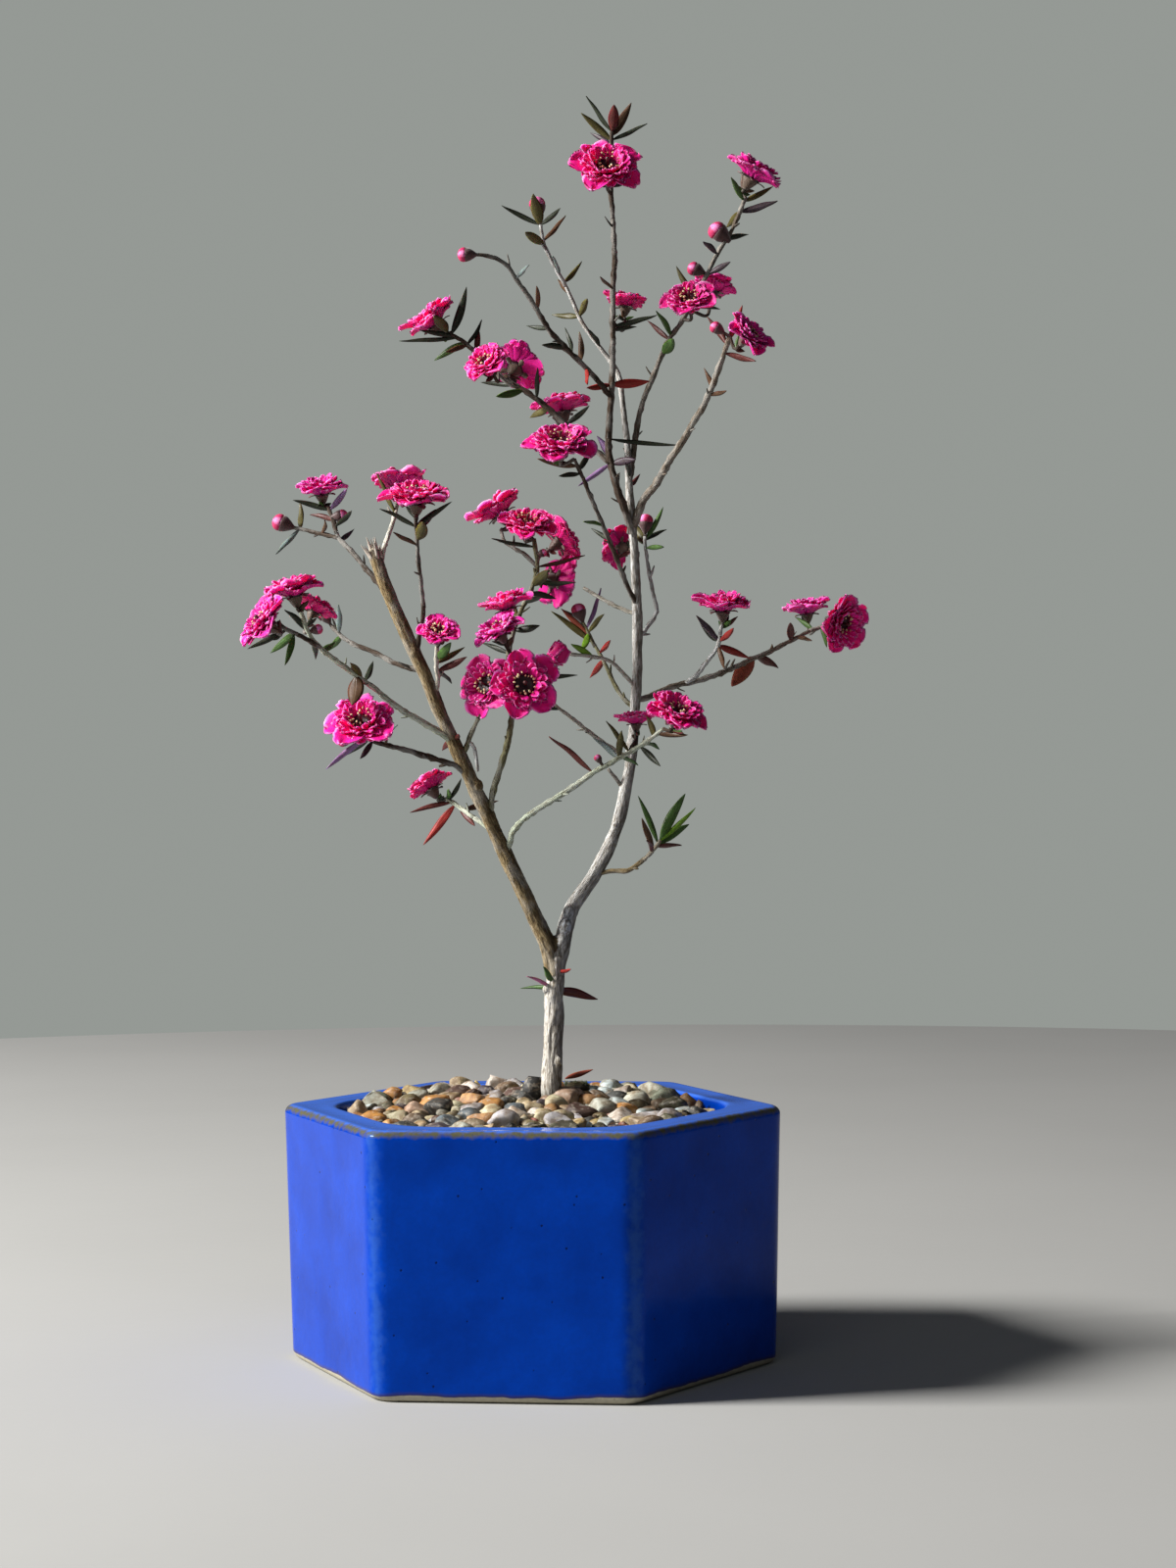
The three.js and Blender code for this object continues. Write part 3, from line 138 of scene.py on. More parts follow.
# Each branch: its name, what it grows on, its bark and the number of the route's point where its young
# shoot begins; its radii; its route as across, depth, height; its leaves as base across, base height,
# tip across, tip height, width, tone; its buds as across, height, radius.
BRANCH_TABLE = """
    trunk - beige -; 1.6 2.9 2.45 2.3 2.3; 4.6 3 37, 4.7 3 50, 4.85 3 63.5, 5.4 3 75, 5.9 3 86, 6.3 3 97;
    3.4 89.5 3.3 94.5 1.4 green, 3 89 -2.3 89.3 0.8 green, 3 89.5 -0.8 92.2 0.8 pink,
    8.6 88.6 16.4 86.5 2 maroon, 8.5 92.6 9.9 93.8 0.8 red;

    left_limb trunk tan -; 2.3 1.9 1.75 1.7 1.6 1.65; 6.1 3 92, 5 2.9 98, 1 2 107, -4 0.2 118,
    -8.5 -1.8 128, -12.5 -3.4 137, -17 -5 147, -21 -6.2 156, -25.5 -7.2 167, -30 -7.4 177, -34 -6.6 187,
    -36.5 -6 194.5; -13.5 151 -16.5 150.3 1 maroon, -19 149 -20.5 146.5 1.2 maroon;

    right_limb trunk silver 20; 2.3 1.75 1.5 1.3 1.25 1 0.75 0.55 0.45; 6.5 3.2 92, 7.5 3.6 98, 10 5.4 108,
    16 7.4 117, 20.5 9 126, 23.2 10 136, 25 10.2 146, 26 9.6 158, 26.5 8.4 172, 26.5 7.6 180, 26.2 6.8 188,
    25.9 6 196, 25 5.4 208, 24.5 6.6 219, 23.5 8.4 229, 22.5 9.6 236, 20.5 10.4 239.5, 17.5 10.6 243.5,
    14 10.4 248.5, 12 10 253, 10 9.4 257.5, 7.5 8.4 262, 6 7.6 265, 4.8 7 268, 4.2 6.6 272;
    4.3 272.5 2.5 279.5 2.3 olive, 3.5 272 -5.2 276.8 1 dark, 4.5 272 9 276 1 dark,
    5 268 10.3 274.3 1 brown, 4.8 267.5 0.5 270.3 1.8 olive, 10 258.5 14 263.3 1 olive,
    8.5 259.5 7 264.5 0.9 silver, 10.3 255 8.2 259 1.2 brown, 13 250 15.2 254.3 1.4 olive,
    12.5 250 6.7 250.5 1.2 olive, 18 243 15.2 247 1.2 dark, 25 209 27.5 212.3 1 maroon,
    25.3 211.5 24 215 1 dark; 3.5 276.3 2

    leader right_limb brown 10; 0.9 0.8 0.7 0.6 0.5; 25.5 5.6 198, 24 4 203, 21.5 2.4 210.5, 20 2 218,
    20.2 1.8 224, 21 1.8 235, 21.3 2.6 250, 21.3 3 256, 21.8 3.4 262, 21.8 3.7 268, 21.5 4 273,
    21.1 4.2 280, 21.2 4.2 287, 21.4 4 294; 21 294 15.3 302.7 1.1 dark, 20.8 292 14 298.7 1.4 olive,
    21.3 294 22 300.5 2.2 maroon, 21.5 293 26.2 301 1.7 brown, 21.5 292 30 296 0.9 dark,
    21 291 16.3 293.8 1 purple, 21.2 281.5 16 281.8 1.2 dark, 21.2 281.5 25.5 282.3 1.2 purple,
    20.5 215.3 26.5 215.8 1.5 purple, 20 216.5 17.3 221.5 1.5 lilac, 20.5 214.5 12.5 209.5 1 lilac,
    20.2 221.2 37.5 219.2 0.9 dark, 21 234 14.8 233 1.2 red, 21 233.5 30 234.5 1.8 red,
    21.2 247.5 32 250.3 1.1 dark, 21.2 246.5 27 247.5 1 dark, 21.3 256 18.3 259.5 0.9 brown;

    far_left leader brown 5; 0.65 0.6 0.45; 20.6 1.8 231, 16.5 -2 236, 11.5 -6 241, 6 -10 247,
    3.2 -12 251.7, 0.5 -13.5 256, -2 -14.5 259.5, -3.7 -15 262.2, -7 -16 264.3, -10.6 -17 265;
    10 242 4.3 243.3 1.2 dark, 13.8 239 13.3 246.5 1.2 brown, 15 238 15 233.8 1.2 red,
    6 247 0.5 248 0.9 dark, 3.2 252 3.1 257.5 0.9 brown, 11.8 241 9.8 247.5 0.9 dark,
    -2 259 1.4 262.5 0.9 silver; -13.6 265 1.7

    upper_right right_limb grey 4; 0.75 0.65 0.55 0.5; 25.3 5.6 210, 26.3 8 220, 28 10 228.5, 31.2 12 236.5,
    34.5 13 244, 38.3 13.5 249.5, 41 14 255, 43.5 15 259, 46 17 264, 50 20 270.5, 53.2 22 278;
    35 245.5 31.6 251.3 1.2 green, 34.5 245 29.5 249 1 maroon, 33.5 241 35.7 244.5 2.2 green,
    40.8 254.5 36.5 262 1.2 olive, 44 260 49.5 262.8 1.2 purple, 40.5 252.5 47 251.5 1.1 dark,
    46 265 43 267.6 1.2 purple, 49 268 54 269.3 1.1 dark, 52 275 61 277.3 1.5 purple,
    52.8 277 60 280.8 1.1 olive, 52.5 277.5 49.8 283 1.2 green, 51.5 274.5 48.6 271 1.6 olive;
    46.9 269.7 2.3, 41.2 261 1.7

    front_right right_limb grey 9; 1 0.85 0.7 0.6; 26 6 200, 28.5 3 206.5, 31 0 209.5, 34 -4 214.5,
    37 -8 219, 40 -12 224, 42.5 -15 228, 44.5 -18 232, 46 -20 236, 47.5 -22 240, 49.2 -23.5 245;
    49 244 52.3 252.5 1.3 red, 48.7 243.5 43.8 249.8 1.2 maroon, 47.8 240.7 55.5 239 1.2 maroon,
    45 233 43 237.5 0.9 brown, 44.3 230.5 48.3 232 0.9 brown; 46.2 246.9 1.4

    upper_middle right_limb brown 5; 0.6 0.55 0.45; 26.2 7.2 181, 24 4 186, 21 -2 194, 18.5 -6 200,
    16 -10 206, 13.6 -13 212, 11.8 -15 216; 13.4 212.3 8 212 1 dark, 12.8 213.5 16.2 218.3 1.1 dark,
    12.3 214.5 2.8 216.2 1.3 brown, 20 197 15.6 199.5 0.9 dark, 19 200 13.8 201 0.9 green;

    back_left leader brown 8; 0.75 0.7 0.6 0.5; 20.5 2 214.5, 16 4.5 218.7, 12 6.5 222, 8 8.5 226,
    4 10 229.5, -0.5 11.5 232.8, -4 12.5 234.5, -8.5 14.5 239, -12.5 16 242.5, -15 17 244.7, -18.2 18 246.4;
    -17.5 246 -13.6 257.5 1.6 dark, -16 245 -30 244.6 0.9 dark, -16.5 245.5 -25 247.2 1 dark,
    -14.5 244 -21.5 239.8 1.4 green, -13.5 243.5 -18.8 241.8 1.1 brown, -13.3 243.3 -10 249.5 1.2 dark,
    -0.5 232.8 -6.8 231.2 1.5 green, -3 234 -10.5 234.6 1 dark, 2.5 230.5 3.2 238 1 dark,
    6 227.8 1.2 226 1.5 olive, 10 224 15.5 228.8 1.1 dark;

    bud_twig right_limb silver 5; 0.55 0.45 0.4; 26.5 8.4 173, 29.5 12 176.5, 31.2 14 179.5, 30.3 15 184,
    29 15 192, 28.6 14.5 195, 28.5 14 197.5; 28.8 196.5 33 204.5 1 green, 28.7 196.5 33.8 199 1 dark,
    28.8 195 33 194.8 1 green, 28.7 196 24.5 201.5 2 olive; 28.8 200.6 1.8

    dead_twig_high right_limb pale -; 0.5 0.4; 26.5 7.6 178.7, 23 9 180, 16.5 11.5 183.5, 13.8 12.5 185.2; ;

    right_reach right_limb grey 9; 0.75 0.65 0.6 0.5; 26 9.6 158, 28.5 11 158.7, 35 14 161.5, 42 17 163,
    50 21 166, 54 23 167.8, 58 25 169.5, 62 27 171.5, 65 28.5 173, 68 30 174.5, 72.2 31 175.8;
    54.5 168 49 161.3 3 rust, 55 168.2 60.3 165.6 1.7 maroon, 62.8 172 63.2 176.4 1.5 maroon,
    69 174.8 64.3 177.8 1 green, 70.5 175 71.8 170.5 1 green, 71.5 175.4 76.2 170.8 0.9 dark,
    71 175.2 74 170.7 1 green, 58 169.5 58.8 171.3 0.9 brown, 65 173 68.3 172 0.9 brown;

    right_rise right_reach silver -; 0.6 0.5 0.45; 38 15.3 162.2, 40.5 13 163.9, 43.5 10 167.7,
    45.5 8 170.5, 46.3 7 173, 46.7 6.4 176; 46 172 40.6 178.4 1.2 purple, 45.8 172 41.6 176.5 1.4 dark,
    46.3 172 49.6 175.3 1.2 red, 46 171.3 53.6 168 1.4 red, 45.8 171 47.3 165.5 1 brown;

    front_middle left_limb lichen 7; 0.75 0.65 0.5; -5 -0.6 121, -3.5 -3 127, -1 -5 130, 6 -8 134.5,
    10 -9.5 137, 14 -10.5 139.7, 16.5 -11 141.5, 19 -11.5 142.7, 22 -12 144.5, 25 -12.5 146, 30 -13.5 149.3,
    32.6 -14 151.3; 15.5 141 5 149.8 1.2 maroon, 21.5 144.5 15.7 149.3 1.2 silver,
    22 144.6 22.6 151 1.4 olive, 24 145.6 26.5 149.8 1.1 dark, 24.5 145.8 18.8 153.4 1 olive,
    30.3 149.5 28.5 154.5 1.2 olive, 31 150 38.5 149.8 1.1 brown, 27.5 147.5 31.6 146.4 1.3 green,
    26.5 147 31.8 142.3 1.2 dark, 23 144.9 26.5 142.6 1.2 green; 16.9 144.2 0.9

    stub_twig right_limb grey -; 0.5 0.4; 23.2 10 136.8, 19.3 8.5 141.8; ;

    dead_twig_low right_limb pale -; 0.55 0.5 0.4; 25 10.2 144, 22 9 145.5, 15 6 150.5, 11 4 153.8,
    6.5 2 157.3; 8.5 156 1 156.9 1 dark;

    round_bud_twig right_limb olive 4; 0.55 0.5 0.4; 26 9.8 156.5, 23 12 159, 21 14 162, 18 16.5 168.5,
    16.5 17.5 171, 14.5 18.5 175, 13.5 19 177; 15.5 172 5.8 179.8 1.2 olive, 15 173.5 8.2 180.4 1.2 rust,
    14.5 174 12.9 170.3 1.3 lime, 14 175.5 17.9 185.3 1 lilac, 14.8 174.5 18.6 178.9 1.1 olive,
    14 176 9 180 1.1 dark, 17.5 169.5 20 172.6 1 red, 18.5 167.8 15 163.6 1.2 red; 12.6 179.4 1.8

    pale_twig right_limb pale -; 0.5 0.45 0.4; 26 9.4 161.5, 22.5 7 165.4, 19.5 4 167.8, 14.5 1 168.9,
    10.6 -1 169.4; 16 168.5 10.6 171.8 1.3 lime;

    middle_rise left_limb olive 11; 0.8 0.7 0.6 0.5; -9.5 -2.2 130.5, -8 -4.5 138, -5.5 -5.5 145.5,
    -4 -6 152, -3.7 -5 160, -4.2 -2 166, -4.3 1 170, -3 5 175.5, -1 7.5 180.5, 1 9.5 184.5, 2.5 11.5 189,
    2.7 12 192, 1.9 12.5 197; 2.5 190 14.3 193 0.9 maroon, 1.8 187 12 186.5 1.1 dark,
    1.5 186 5.3 189.6 2 olive, 0.8 184 7.3 182.6 1.3 dark, -0.5 181.5 3.6 183 1.1 dark,
    -2.5 177 -4.6 184 1.6 olive, -3 175 3.2 176.3 1.4 dark, -4.3 169.5 -10.8 172.3 1 dark,
    2.2 195.5 -8.3 197.2 0.9 dark, -4 163 12.3 164.3 1.3 dark; 3.9 193.6 1

    middle_side middle_rise brown -; 0.5 0.45; 2.5 11.8 190, 0 14 193, -3 17 195, -5.2 20 196.6,
    -5.9 22.5 199.3; ;

    front_bloom_twig left_limb olive -; 0.6 0.5; -15 -4.4 145, -14 -5 148, -13 -5.4 151.5, -11.3 -5.6 155,
    -9.6 -5.2 158.5; ;

    hanging_twig front_bloom_twig silver -; 0.45 0.4; -14 -5 148, -12.9 -5.6 147.5, -12.2 -6 144.5,
    -12 -6.2 141.5; ;

    stub_bloom_twig left_limb pale -; 0.6 0.5; -35.3 -6.2 190, -34.1 -4 195, -33 -2 198, -31.5 2 202,
    -30.6 5 206.4; -31.3 203 -35.5 213.2 1.2 olive;

    straight_twig left_limb brown 5; 0.6 0.5 0.45; -26.5 -7.3 169.5, -25.5 -9 175, -24.7 -11 180,
    -25.3 -14 188, -25.9 -16 193, -26 -16.8 196, -26.3 -17.4 202; -26 195.5 -31.8 198.9 1 brown,
    -26.2 199.5 -35 204.6 1 dark, -26.1 197 -24.6 201.3 2.3 olive, -26.2 199.5 -21.5 204.3 1.5 purple,
    -26.2 200.3 -17.5 206.2 1 dark;

    left_high left_limb brown 5; 0.75 0.6 0.5; -31.8 -7.2 181, -34 -4 185, -38.5 2 190.5, -42 7 194.7,
    -45 11 198, -46 14 201.5, -47.2 16 205; -46.5 204 -55.8 206.8 1.1 dark, -46 202 -51.6 203.3 1.1 maroon,
    -45.8 200.5 -41.6 204.2 1.1 dark, -44.4 197.4 -41 199.8 1 purple, -46.6 204 -42.6 209.6 1.2 lilac;
    -44.4 202.9 1.6

    left_bud_twig left_high brown -; 0.5 0.45; -45 11.2 197.8, -48 13 198.5, -51 14.5 199.2, -55.8 16 200.3;
    -48.5 198.6 -48.1 202 1 brown, -54 200 -53.9 206.5 1.2 olive, -54 199.6 -60 193.8 1 silver;
    -58.2 201.2 2.1

    left_front left_limb lichen 8; 0.8 0.7 0.6 0.5; -18.5 -5.4 148, -23 -8 152, -29.5 -13 156,
    -33 -16 158.5, -36.5 -19 161.5, -40 -22 164, -46 -27 168.5, -49 -29 171, -51.5 -31 173.7,
    -52.8 -32.5 176.5, -54 -33.5 180; -52 175 -58 180.6 1.2 dark, -51 173 -50.6 168.6 1.2 dark,
    -41 164.7 -42 157.6 3.2 brown, -49 171 -45.8 173 1.2 green, -39.5 163.6 -42.4 167.8 1.2 olive,
    -39 163.3 -36.8 168.2 1.1 dark; -50.3 175.8 1.2

    left_front_side left_front brown 2; 0.55 0.5; -49.6 -29.5 171.6, -52.5 -32.3 173.4, -55 -33.5 174.7,
    -58 -35.5 176.2, -59.6 -36.5 177.6; -57 175.7 -67 171.2 1.1 dark, -56 175.2 -61.5 170.2 1.4 green,
    -55.5 175 -58 167.2 1.2 green;

    left_back left_limb brown -; 0.65 0.55 0.5; -26.3 -7.3 165, -30 -5 166.5, -36 0 170, -42 5 172.5,
    -44.5 7 174.3, -46.6 9 176.5; -45.3 175 -45 181.8 1.2 silver, -44.5 174.3 -47.5 170.6 1.2 green;
    -48.2 178.9 1.5

    left_low left_limb brown 5; 0.75 0.65 0.55; -15 -4.4 140, -18 -6 143, -22 -9 144.5, -30 -14 147,
    -34 -17 148, -37 -19 149, -38.8 -20.2 149.7; -38.5 149.6 -48.5 142.2 1.1 lilac,
    -38 149.3 -43.2 145.7 1 dark, -37.5 149.2 -40.2 144.7 1.1 purple, -36.5 148.8 -31 152.8 1.2 silver,
    -34 148 -35 151 0.9 brown; -43.9 149 1.3

    pale_bloom_twig left_limb pale -; 0.55 0.5; -23 -6.8 159, -21.7 -8 163, -21.7 -10 167,
    -21.5 -11.5 171.5; -21.6 168 -18.2 172.4 1.7 green, -21.6 167.5 -14.8 171.3 1.1 olive,
    -21.7 166 -14.3 169 1.3 maroon, -21.7 165.3 -18 162.6 1.5 dark;

    low_left_bloom_twig left_limb lichen 2; 0.6 0.5; -8.6 -1.8 126.5, -11 0 128.7, -13 2 130.3, -15 4 131.8,
    -17 6 133.3, -19.6 8 135; -18 134 -28.5 131.7 1 maroon, -17.5 133.8 -25.3 123.8 1.5 red,
    -16.5 133 -12.8 128.4 1.2 maroon, -15.5 132.5 -7 134.4 1.2 brown, -18.5 134.5 -16 139.8 0.9 dark;

    low_right_twig right_limb tan 4; 0.6 0.5; 17 7.6 115.5, 20.5 6.4 116.8, 23.5 4.4 117.2, 26 2.4 118.8,
    28 0.6 120.3, 29.3 -0.8 121.5, 31.6 -2.6 124.5; 31 124 26.3 135.4 1.1 green,
    31.6 124.5 37.8 135.8 1.9 green, 31.5 124.4 40.2 132.4 1 lime, 31 123.5 38.6 128.4 1.7 green,
    30.3 122.6 27.2 130 1.2 brown, 30.5 122.8 36.8 123.3 1.3 maroon, 29.4 121.5 28.3 124.6 1.1 maroon;
"""

# Blooms: number, branch, foot on it or none for its end, middle, facing, radius, openness
BLOOMS = table("""
    1 leader 21 279.5 20.3 -5 287 0 -0.75 0.65 8.2 1, 2 upper_right - - 56 23 285 0.52 -0.15 0.84 7.7 0.8,
    3 upper_right 38.3 249.5 39.5 4 255 -0.1 -0.7 0.7 6.5 1,
    4 upper_right 39.7 252 45.5 22 257.5 0.2 0.2 0.95 6 0.85,
    5 front_right - - 54.5 -28 246 0.6 -0.5 0.6 5.8 0.9,
    6 leader 21.3 249 24.5 11 254 0.1 0.1 0.99 5.5 0.85,
    7 back_left - - -22.8 20 250.6 -0.6 -0.15 0.78 7.8 0.8,
    8 back_left -6.5 237 -9.5 3 240 -0.4 -0.65 0.65 6 0.9,
    9 back_left -2 233.5 -1.5 20 238.5 0.3 0.8 0.5 7 0.9,
    10 back_left 6.5 227.4 8.5 19 229.5 -0.2 0.1 0.97 7.3 0.85,
    11 upper_middle - - 8.5 -18 221.5 0 -0.5 0.86 8.2 1,
    12 left_high - - -49 16 210.5 -0.1 -0.25 0.96 6.5 0.85,
    13 stub_bloom_twig - - -30 8 211.8 -0.05 0.2 0.97 7.2 0.85,
    14 straight_twig - - -26 -18 209 0.05 -0.3 0.95 8.2 0.95,
    15 left_front - - -56 -34 186.5 -0.2 -0.15 0.96 7 0.85,
    16 left_front_side - - -64.2 -41 178.6 -0.74 -0.36 0.57 7 0.95,
    17 left_front -52.4 175.4 -50.2 -24 181.4 0.4 0.3 0.87 5.4 0.85,
    18 pale_bloom_twig - - -21 -15 175.8 0 -0.65 0.76 5 0.95,
    19 left_low - - -40 -25 154.5 -0.1 -0.7 0.7 8 1,
    20 low_left_bloom_twig - - -24 9 139 -0.5 0.2 0.84 6.2 0.8,
    21 middle_side - - -7.3 24 205 -0.56 0.05 0.83 7.5 0.85, 22 middle_rise - - 0.5 8 202 0.1 -0.5 0.86 7 1,
    23 middle_rise 2.5 190.4 9.4 20 197 0.7 0.3 0.5 6.3 0.85,
    24 middle_rise 1.2 185 8 19 186.6 0.65 0.62 -0.15 6.8 0.85,
    25 middle_rise -2.6 176.5 -5.2 -1 182.6 -0.3 -0.1 0.95 6.6 0.85,
    26 middle_rise -4.3 169 -7.2 -10 176.4 -0.4 -0.3 0.86 6.3 0.95,
    27 front_bloom_twig - - -10.5 -8 162.5 -0.45 -0.85 0.2 7 1,
    28 middle_rise -3.8 157 -0.5 -17 162.5 0.05 -0.97 0.2 7.9 1,
    29 middle_rise -4 163 6.8 2 168.3 0.6 0.1 0.75 5 0.1,
    30 right_limb 26.2 190 21.5 14 195 -0.75 0.6 0.2 5.5 0.85,
    31 right_rise - - 47 6 182 0 -0.2 0.97 7 0.85,
    32 right_reach 69.2 174.9 67 36 180.6 -0.1 -0.1 0.97 6 0.85,
    33 right_reach - - 76.6 23 176 0.6 -0.72 -0.25 7.3 0.9,
    34 front_middle 25.5 146.3 26 -2.5 154.3 0 0 1 5 0.8,
    35 front_middle - - 36.4 -19 156.2 0.3 -0.55 0.78 7.4 0.95
""")

# Small leaves that grow under a bloom or beside the listed ones: branch, leaf
MORE_LEAVES = table("""
    back_left -18.5 246.5 -21.5 250.5 2.2 olive, back_left -11.6 241 -11 248 1.2 maroon,
    low_left_bloom_twig -21 135.5 -19 137 1.4 green
""")

# Rows of small inner petals: start, length, angle above level, how many before each outer petal,
# half width, spread
RUFF = table("""
    0.3 0.62 1.38 2 0.14 0.56, 0.31 0.68 1.08 3 0.165 0.42, 0.32 0.68 0.78 3 0.19 0.42,
    0.33 0.64 0.48 3 0.21 0.42
""")

# Lumps on the limbs: across, depth, height, radius
KNOBS = table("""
    6.9 0.9 71.7 0.85, 8.6 2.6 104 1.7, 9.4 3.4 107.6 1.4, 7.6 2.2 100.6 1.5, 3.8 1.6 89 0.8,
    -12 -4.6 138 1.3, -27 -8.2 170 1.1, 21 8.2 128 0.9
""")

# Stones seen from the front: across, height, width, height of the stone, tone
STONE_TONES = palette("""
    grey_green 126 130 116, white_grey 196 192 184, ochre 196 136 74, pale_ochre 206 180 128,
    black 58 56 58, purple 88 76 88, pink_yellow 206 178 150, quartz 222 206 204, bluish 198 206 216,
    olive 92 88 70, khaki 134 118 88, light_grey 172 170 164, tan_pink 190 156 140, dark_grey 84 84 86,
    pale_brown 172 150 126, cream 216 202 174, red_pink 178 110 104, orange 198 146 98, lilac 196 188 200,
    slate 104 112 124, tan 186 164 134, brown 122 98 78, maroon 92 66 60, grey 140 138 134
""")
STONES = table("""
    -36.9 65.9 5.5 2.9 grey_green, -39.8 62.8 7.1 4.6 white_grey, -33.9 63.6 5 3.8 ochre,
    -29.5 66.3 5.9 3.8 pale_ochre, -31 64.2 3 1.7 black, -24.7 64.4 5 3.8 purple,
    -28.5 64.8 3.4 1.7 pink_yellow, -19.5 64.1 6.3 4.6 quartz, -38.7 60.5 3.8 2.5 bluish,
    -34.1 60.3 4.6 3.6 olive, -28 60.6 7.1 5 khaki, -27.2 62.7 5.5 2.5 light_grey,
    -22.8 62.3 2.9 2.5 tan_pink, -21.3 59.9 6.3 4.6 dark_grey, -26.6 58.4 4.2 1.7 pale_brown,
    -24.1 57.9 2.5 1.3 cream, -19 58.2 4.2 2.1 tan, -17.1 62 2.1 2.1 red_pink, -14.3 62 5.5 2.3 orange,
    -13.8 64.1 6 2.5 lilac, -7.5 65.1 8.4 5 quartz, -5 63.8 5.9 4.6 brown, -9.8 60.9 5 2.5 ochre,
    -14.4 60.1 4.6 1.7 lilac, -14 58.6 5.9 3.8 slate, -8.8 58.8 5.5 3.8 cream, -3.7 58.3 5.9 3.4 quartz,
    -2.3 61.3 3.4 2.9 tan, 0.5 60.2 5 3.4 tan, 3 57.8 4.2 3.3 cream, -2.7 66.3 3.4 2.5 purple,
    3.8 62 2.5 2.1 tan_pink, 16.4 66 4.2 2.5 ochre, 14.4 66.5 1.8 1.5 slate, 19.7 64.6 5.7 3.9 bluish,
    24 66.1 4.5 2.7 grey, 24.5 63.9 5.7 2.4 cream, 31.1 64.4 6.6 2.8 white_grey,
    36.3 65.2 3.6 2.4 dark_grey, 37.4 63.8 4.8 2.4 tan_pink, 14.9 62.7 5.4 2.1 slate,
    8.9 61.9 8.4 3.3 tan_pink, 20.4 62.1 5.1 3.6 dark_grey, 24.8 60.7 5.7 5.1 white_grey,
    31.4 62.1 7.2 1.8 grey_green, 31.1 60.3 6.9 3.6 brown, 38.3 60.6 6 5.1 orange, 40.1 61.2 2.6 3.5 brown,
    42.8 61.1 3.3 1.8 cream, 17 59.6 5.7 4.2 light_grey, 12.2 59 5.4 3.9 maroon, 7.8 57.7 5.1 3.6 cream,
    8.5 59.9 3.3 1.8 pink_yellow, 14.3 56.9 3.3 1.5 dark_grey, 16.7 57.2 2.4 2.1 cream,
    21.8 57.4 7.2 2.7 quartz, 27.8 57.8 5.4 1.5 bluish, 33.5 58.5 3 1.5 quartz, 31.3 57.9 2.4 1.2 tan
""")


# Shapes: points, groups of faces, and a grain vector for each point

def unit(vector):
    return vector / np.maximum(np.linalg.norm(vector, axis=-1, keepdims=True), 1e-9)


def turns(count):
    """Even headings round a circle."""
    return np.arange(count) * TAU / count


def between(first, second, turn):
    """The direction at a turn from the first axis towards the second."""
    return math.cos(turn) * first + math.sin(turn) * second


def stacked(*parts):
    """Numbers side by side in one array of points."""
    return np.stack(np.broadcast_arrays(*parts), -1)


def way_along(line):
    """Distance from a line's start at each of its points."""
    return np.concatenate([[0], np.cumsum(np.linalg.norm(np.diff(line, axis=0), axis=1))])


def along_sight(across, depth, height):
    """A point read in the upright plane through the pot's centre, moved along the sight line to a depth."""
    return EYE + (np.array([across, 0, height]) - EYE) * (depth - EYE[1]) / -EYE[1]


def loft(rings, grain, start=None, end=None):
    """A closed surface through rings of points, with a point at each end."""
    count, sides = rings.shape[:2]
    tips = [rings[0].mean(0) if start is None else start, rings[-1].mean(0) if end is None else end]
    points = np.vstack([rings.reshape(-1, 3), tips])
    grains = np.vstack([grain.reshape(-1, 3), grain[0].mean(0), grain[-1].mean(0)])
    low = np.arange(sides)
    high = (low + 1) % sides
    steps = np.arange(count - 1)[:, None] * sides
    quads = np.stack([steps + low, steps + high, steps + high + sides, steps + low + sides], -1)
    first = np.stack([high, low, np.full(sides, count * sides)], -1)
    base = (count - 1) * sides
    last = np.stack([base + low, base + high, np.full(sides, count * sides + 1)], -1)
    return points, [quads.reshape(-1, 4), np.vstack([first, last])], grains


def headings(line):
    """Direction and two cross directions at each point of a line."""
    ahead = unit(np.gradient(line, axis=0))
    side = np.array([0.3, 1, 0.1])
    sides = []
    for direction in ahead:
        side = unit(side - direction * (side @ direction))
        sides.append(side)
    sides = np.array(sides)
    return ahead, sides, np.cross(ahead, sides)


def tube(line, radii, sides, seed=0):
    """A closed tube. Radii may differ round a ring. Its grain is the way round, the way along and a seed."""
    ahead, side, across = headings(line)
    radii = np.asarray(radii, float)
    if radii.ndim == 1:
        radii = np.repeat(radii[:, None], sides, 1)
    turn, mean = turns(sides), radii.mean()
    out = np.cos(turn)[:, None] * side[:, None] + np.sin(turn)[:, None] * across[:, None]
    grain = stacked(np.cos(turn) * mean, way_along(line)[:, None], np.sin(turn) * mean + seed)
    return loft(line[:, None] + radii[..., None] * out, grain, line[0] - ahead[0] * radii[0].mean() * 0.4,
                line[-1] + ahead[-1] * radii[-1].mean() * 0.6)


def blade(middle, side, face, half, lift, thickness, seed=0, pull=None):
    """A thin closed sheet along a middle line. Its grain is across (-1 to 1), along (0 to 1), and the seed,
    one more on its lower face. Lift moves its points out of the sheet, and pull towards its tip."""
    rows, columns = lift.shape
    across = np.linspace(-1, 1, columns)
    flat = middle[:, None] + side[:, None] * (half[:, None] * across)[..., None]
    flat += face[:, None] * lift[..., None]
    if pull is not None:
        flat += np.cross(face, side)[:, None] * pull[..., None]
    swell = face[:, None] * (0.5 * thickness * (1 - across ** 4))[:, None]
    grain = stacked(across, np.linspace(0, 1, rows)[:, None], seed)
    rings = np.concatenate([flat + swell, (flat - swell)[:, -2:0:-1]], 1)
    return loft(rings, np.concatenate([grain, grain[:, -2:0:-1] + (0, 0, 1)], 1))


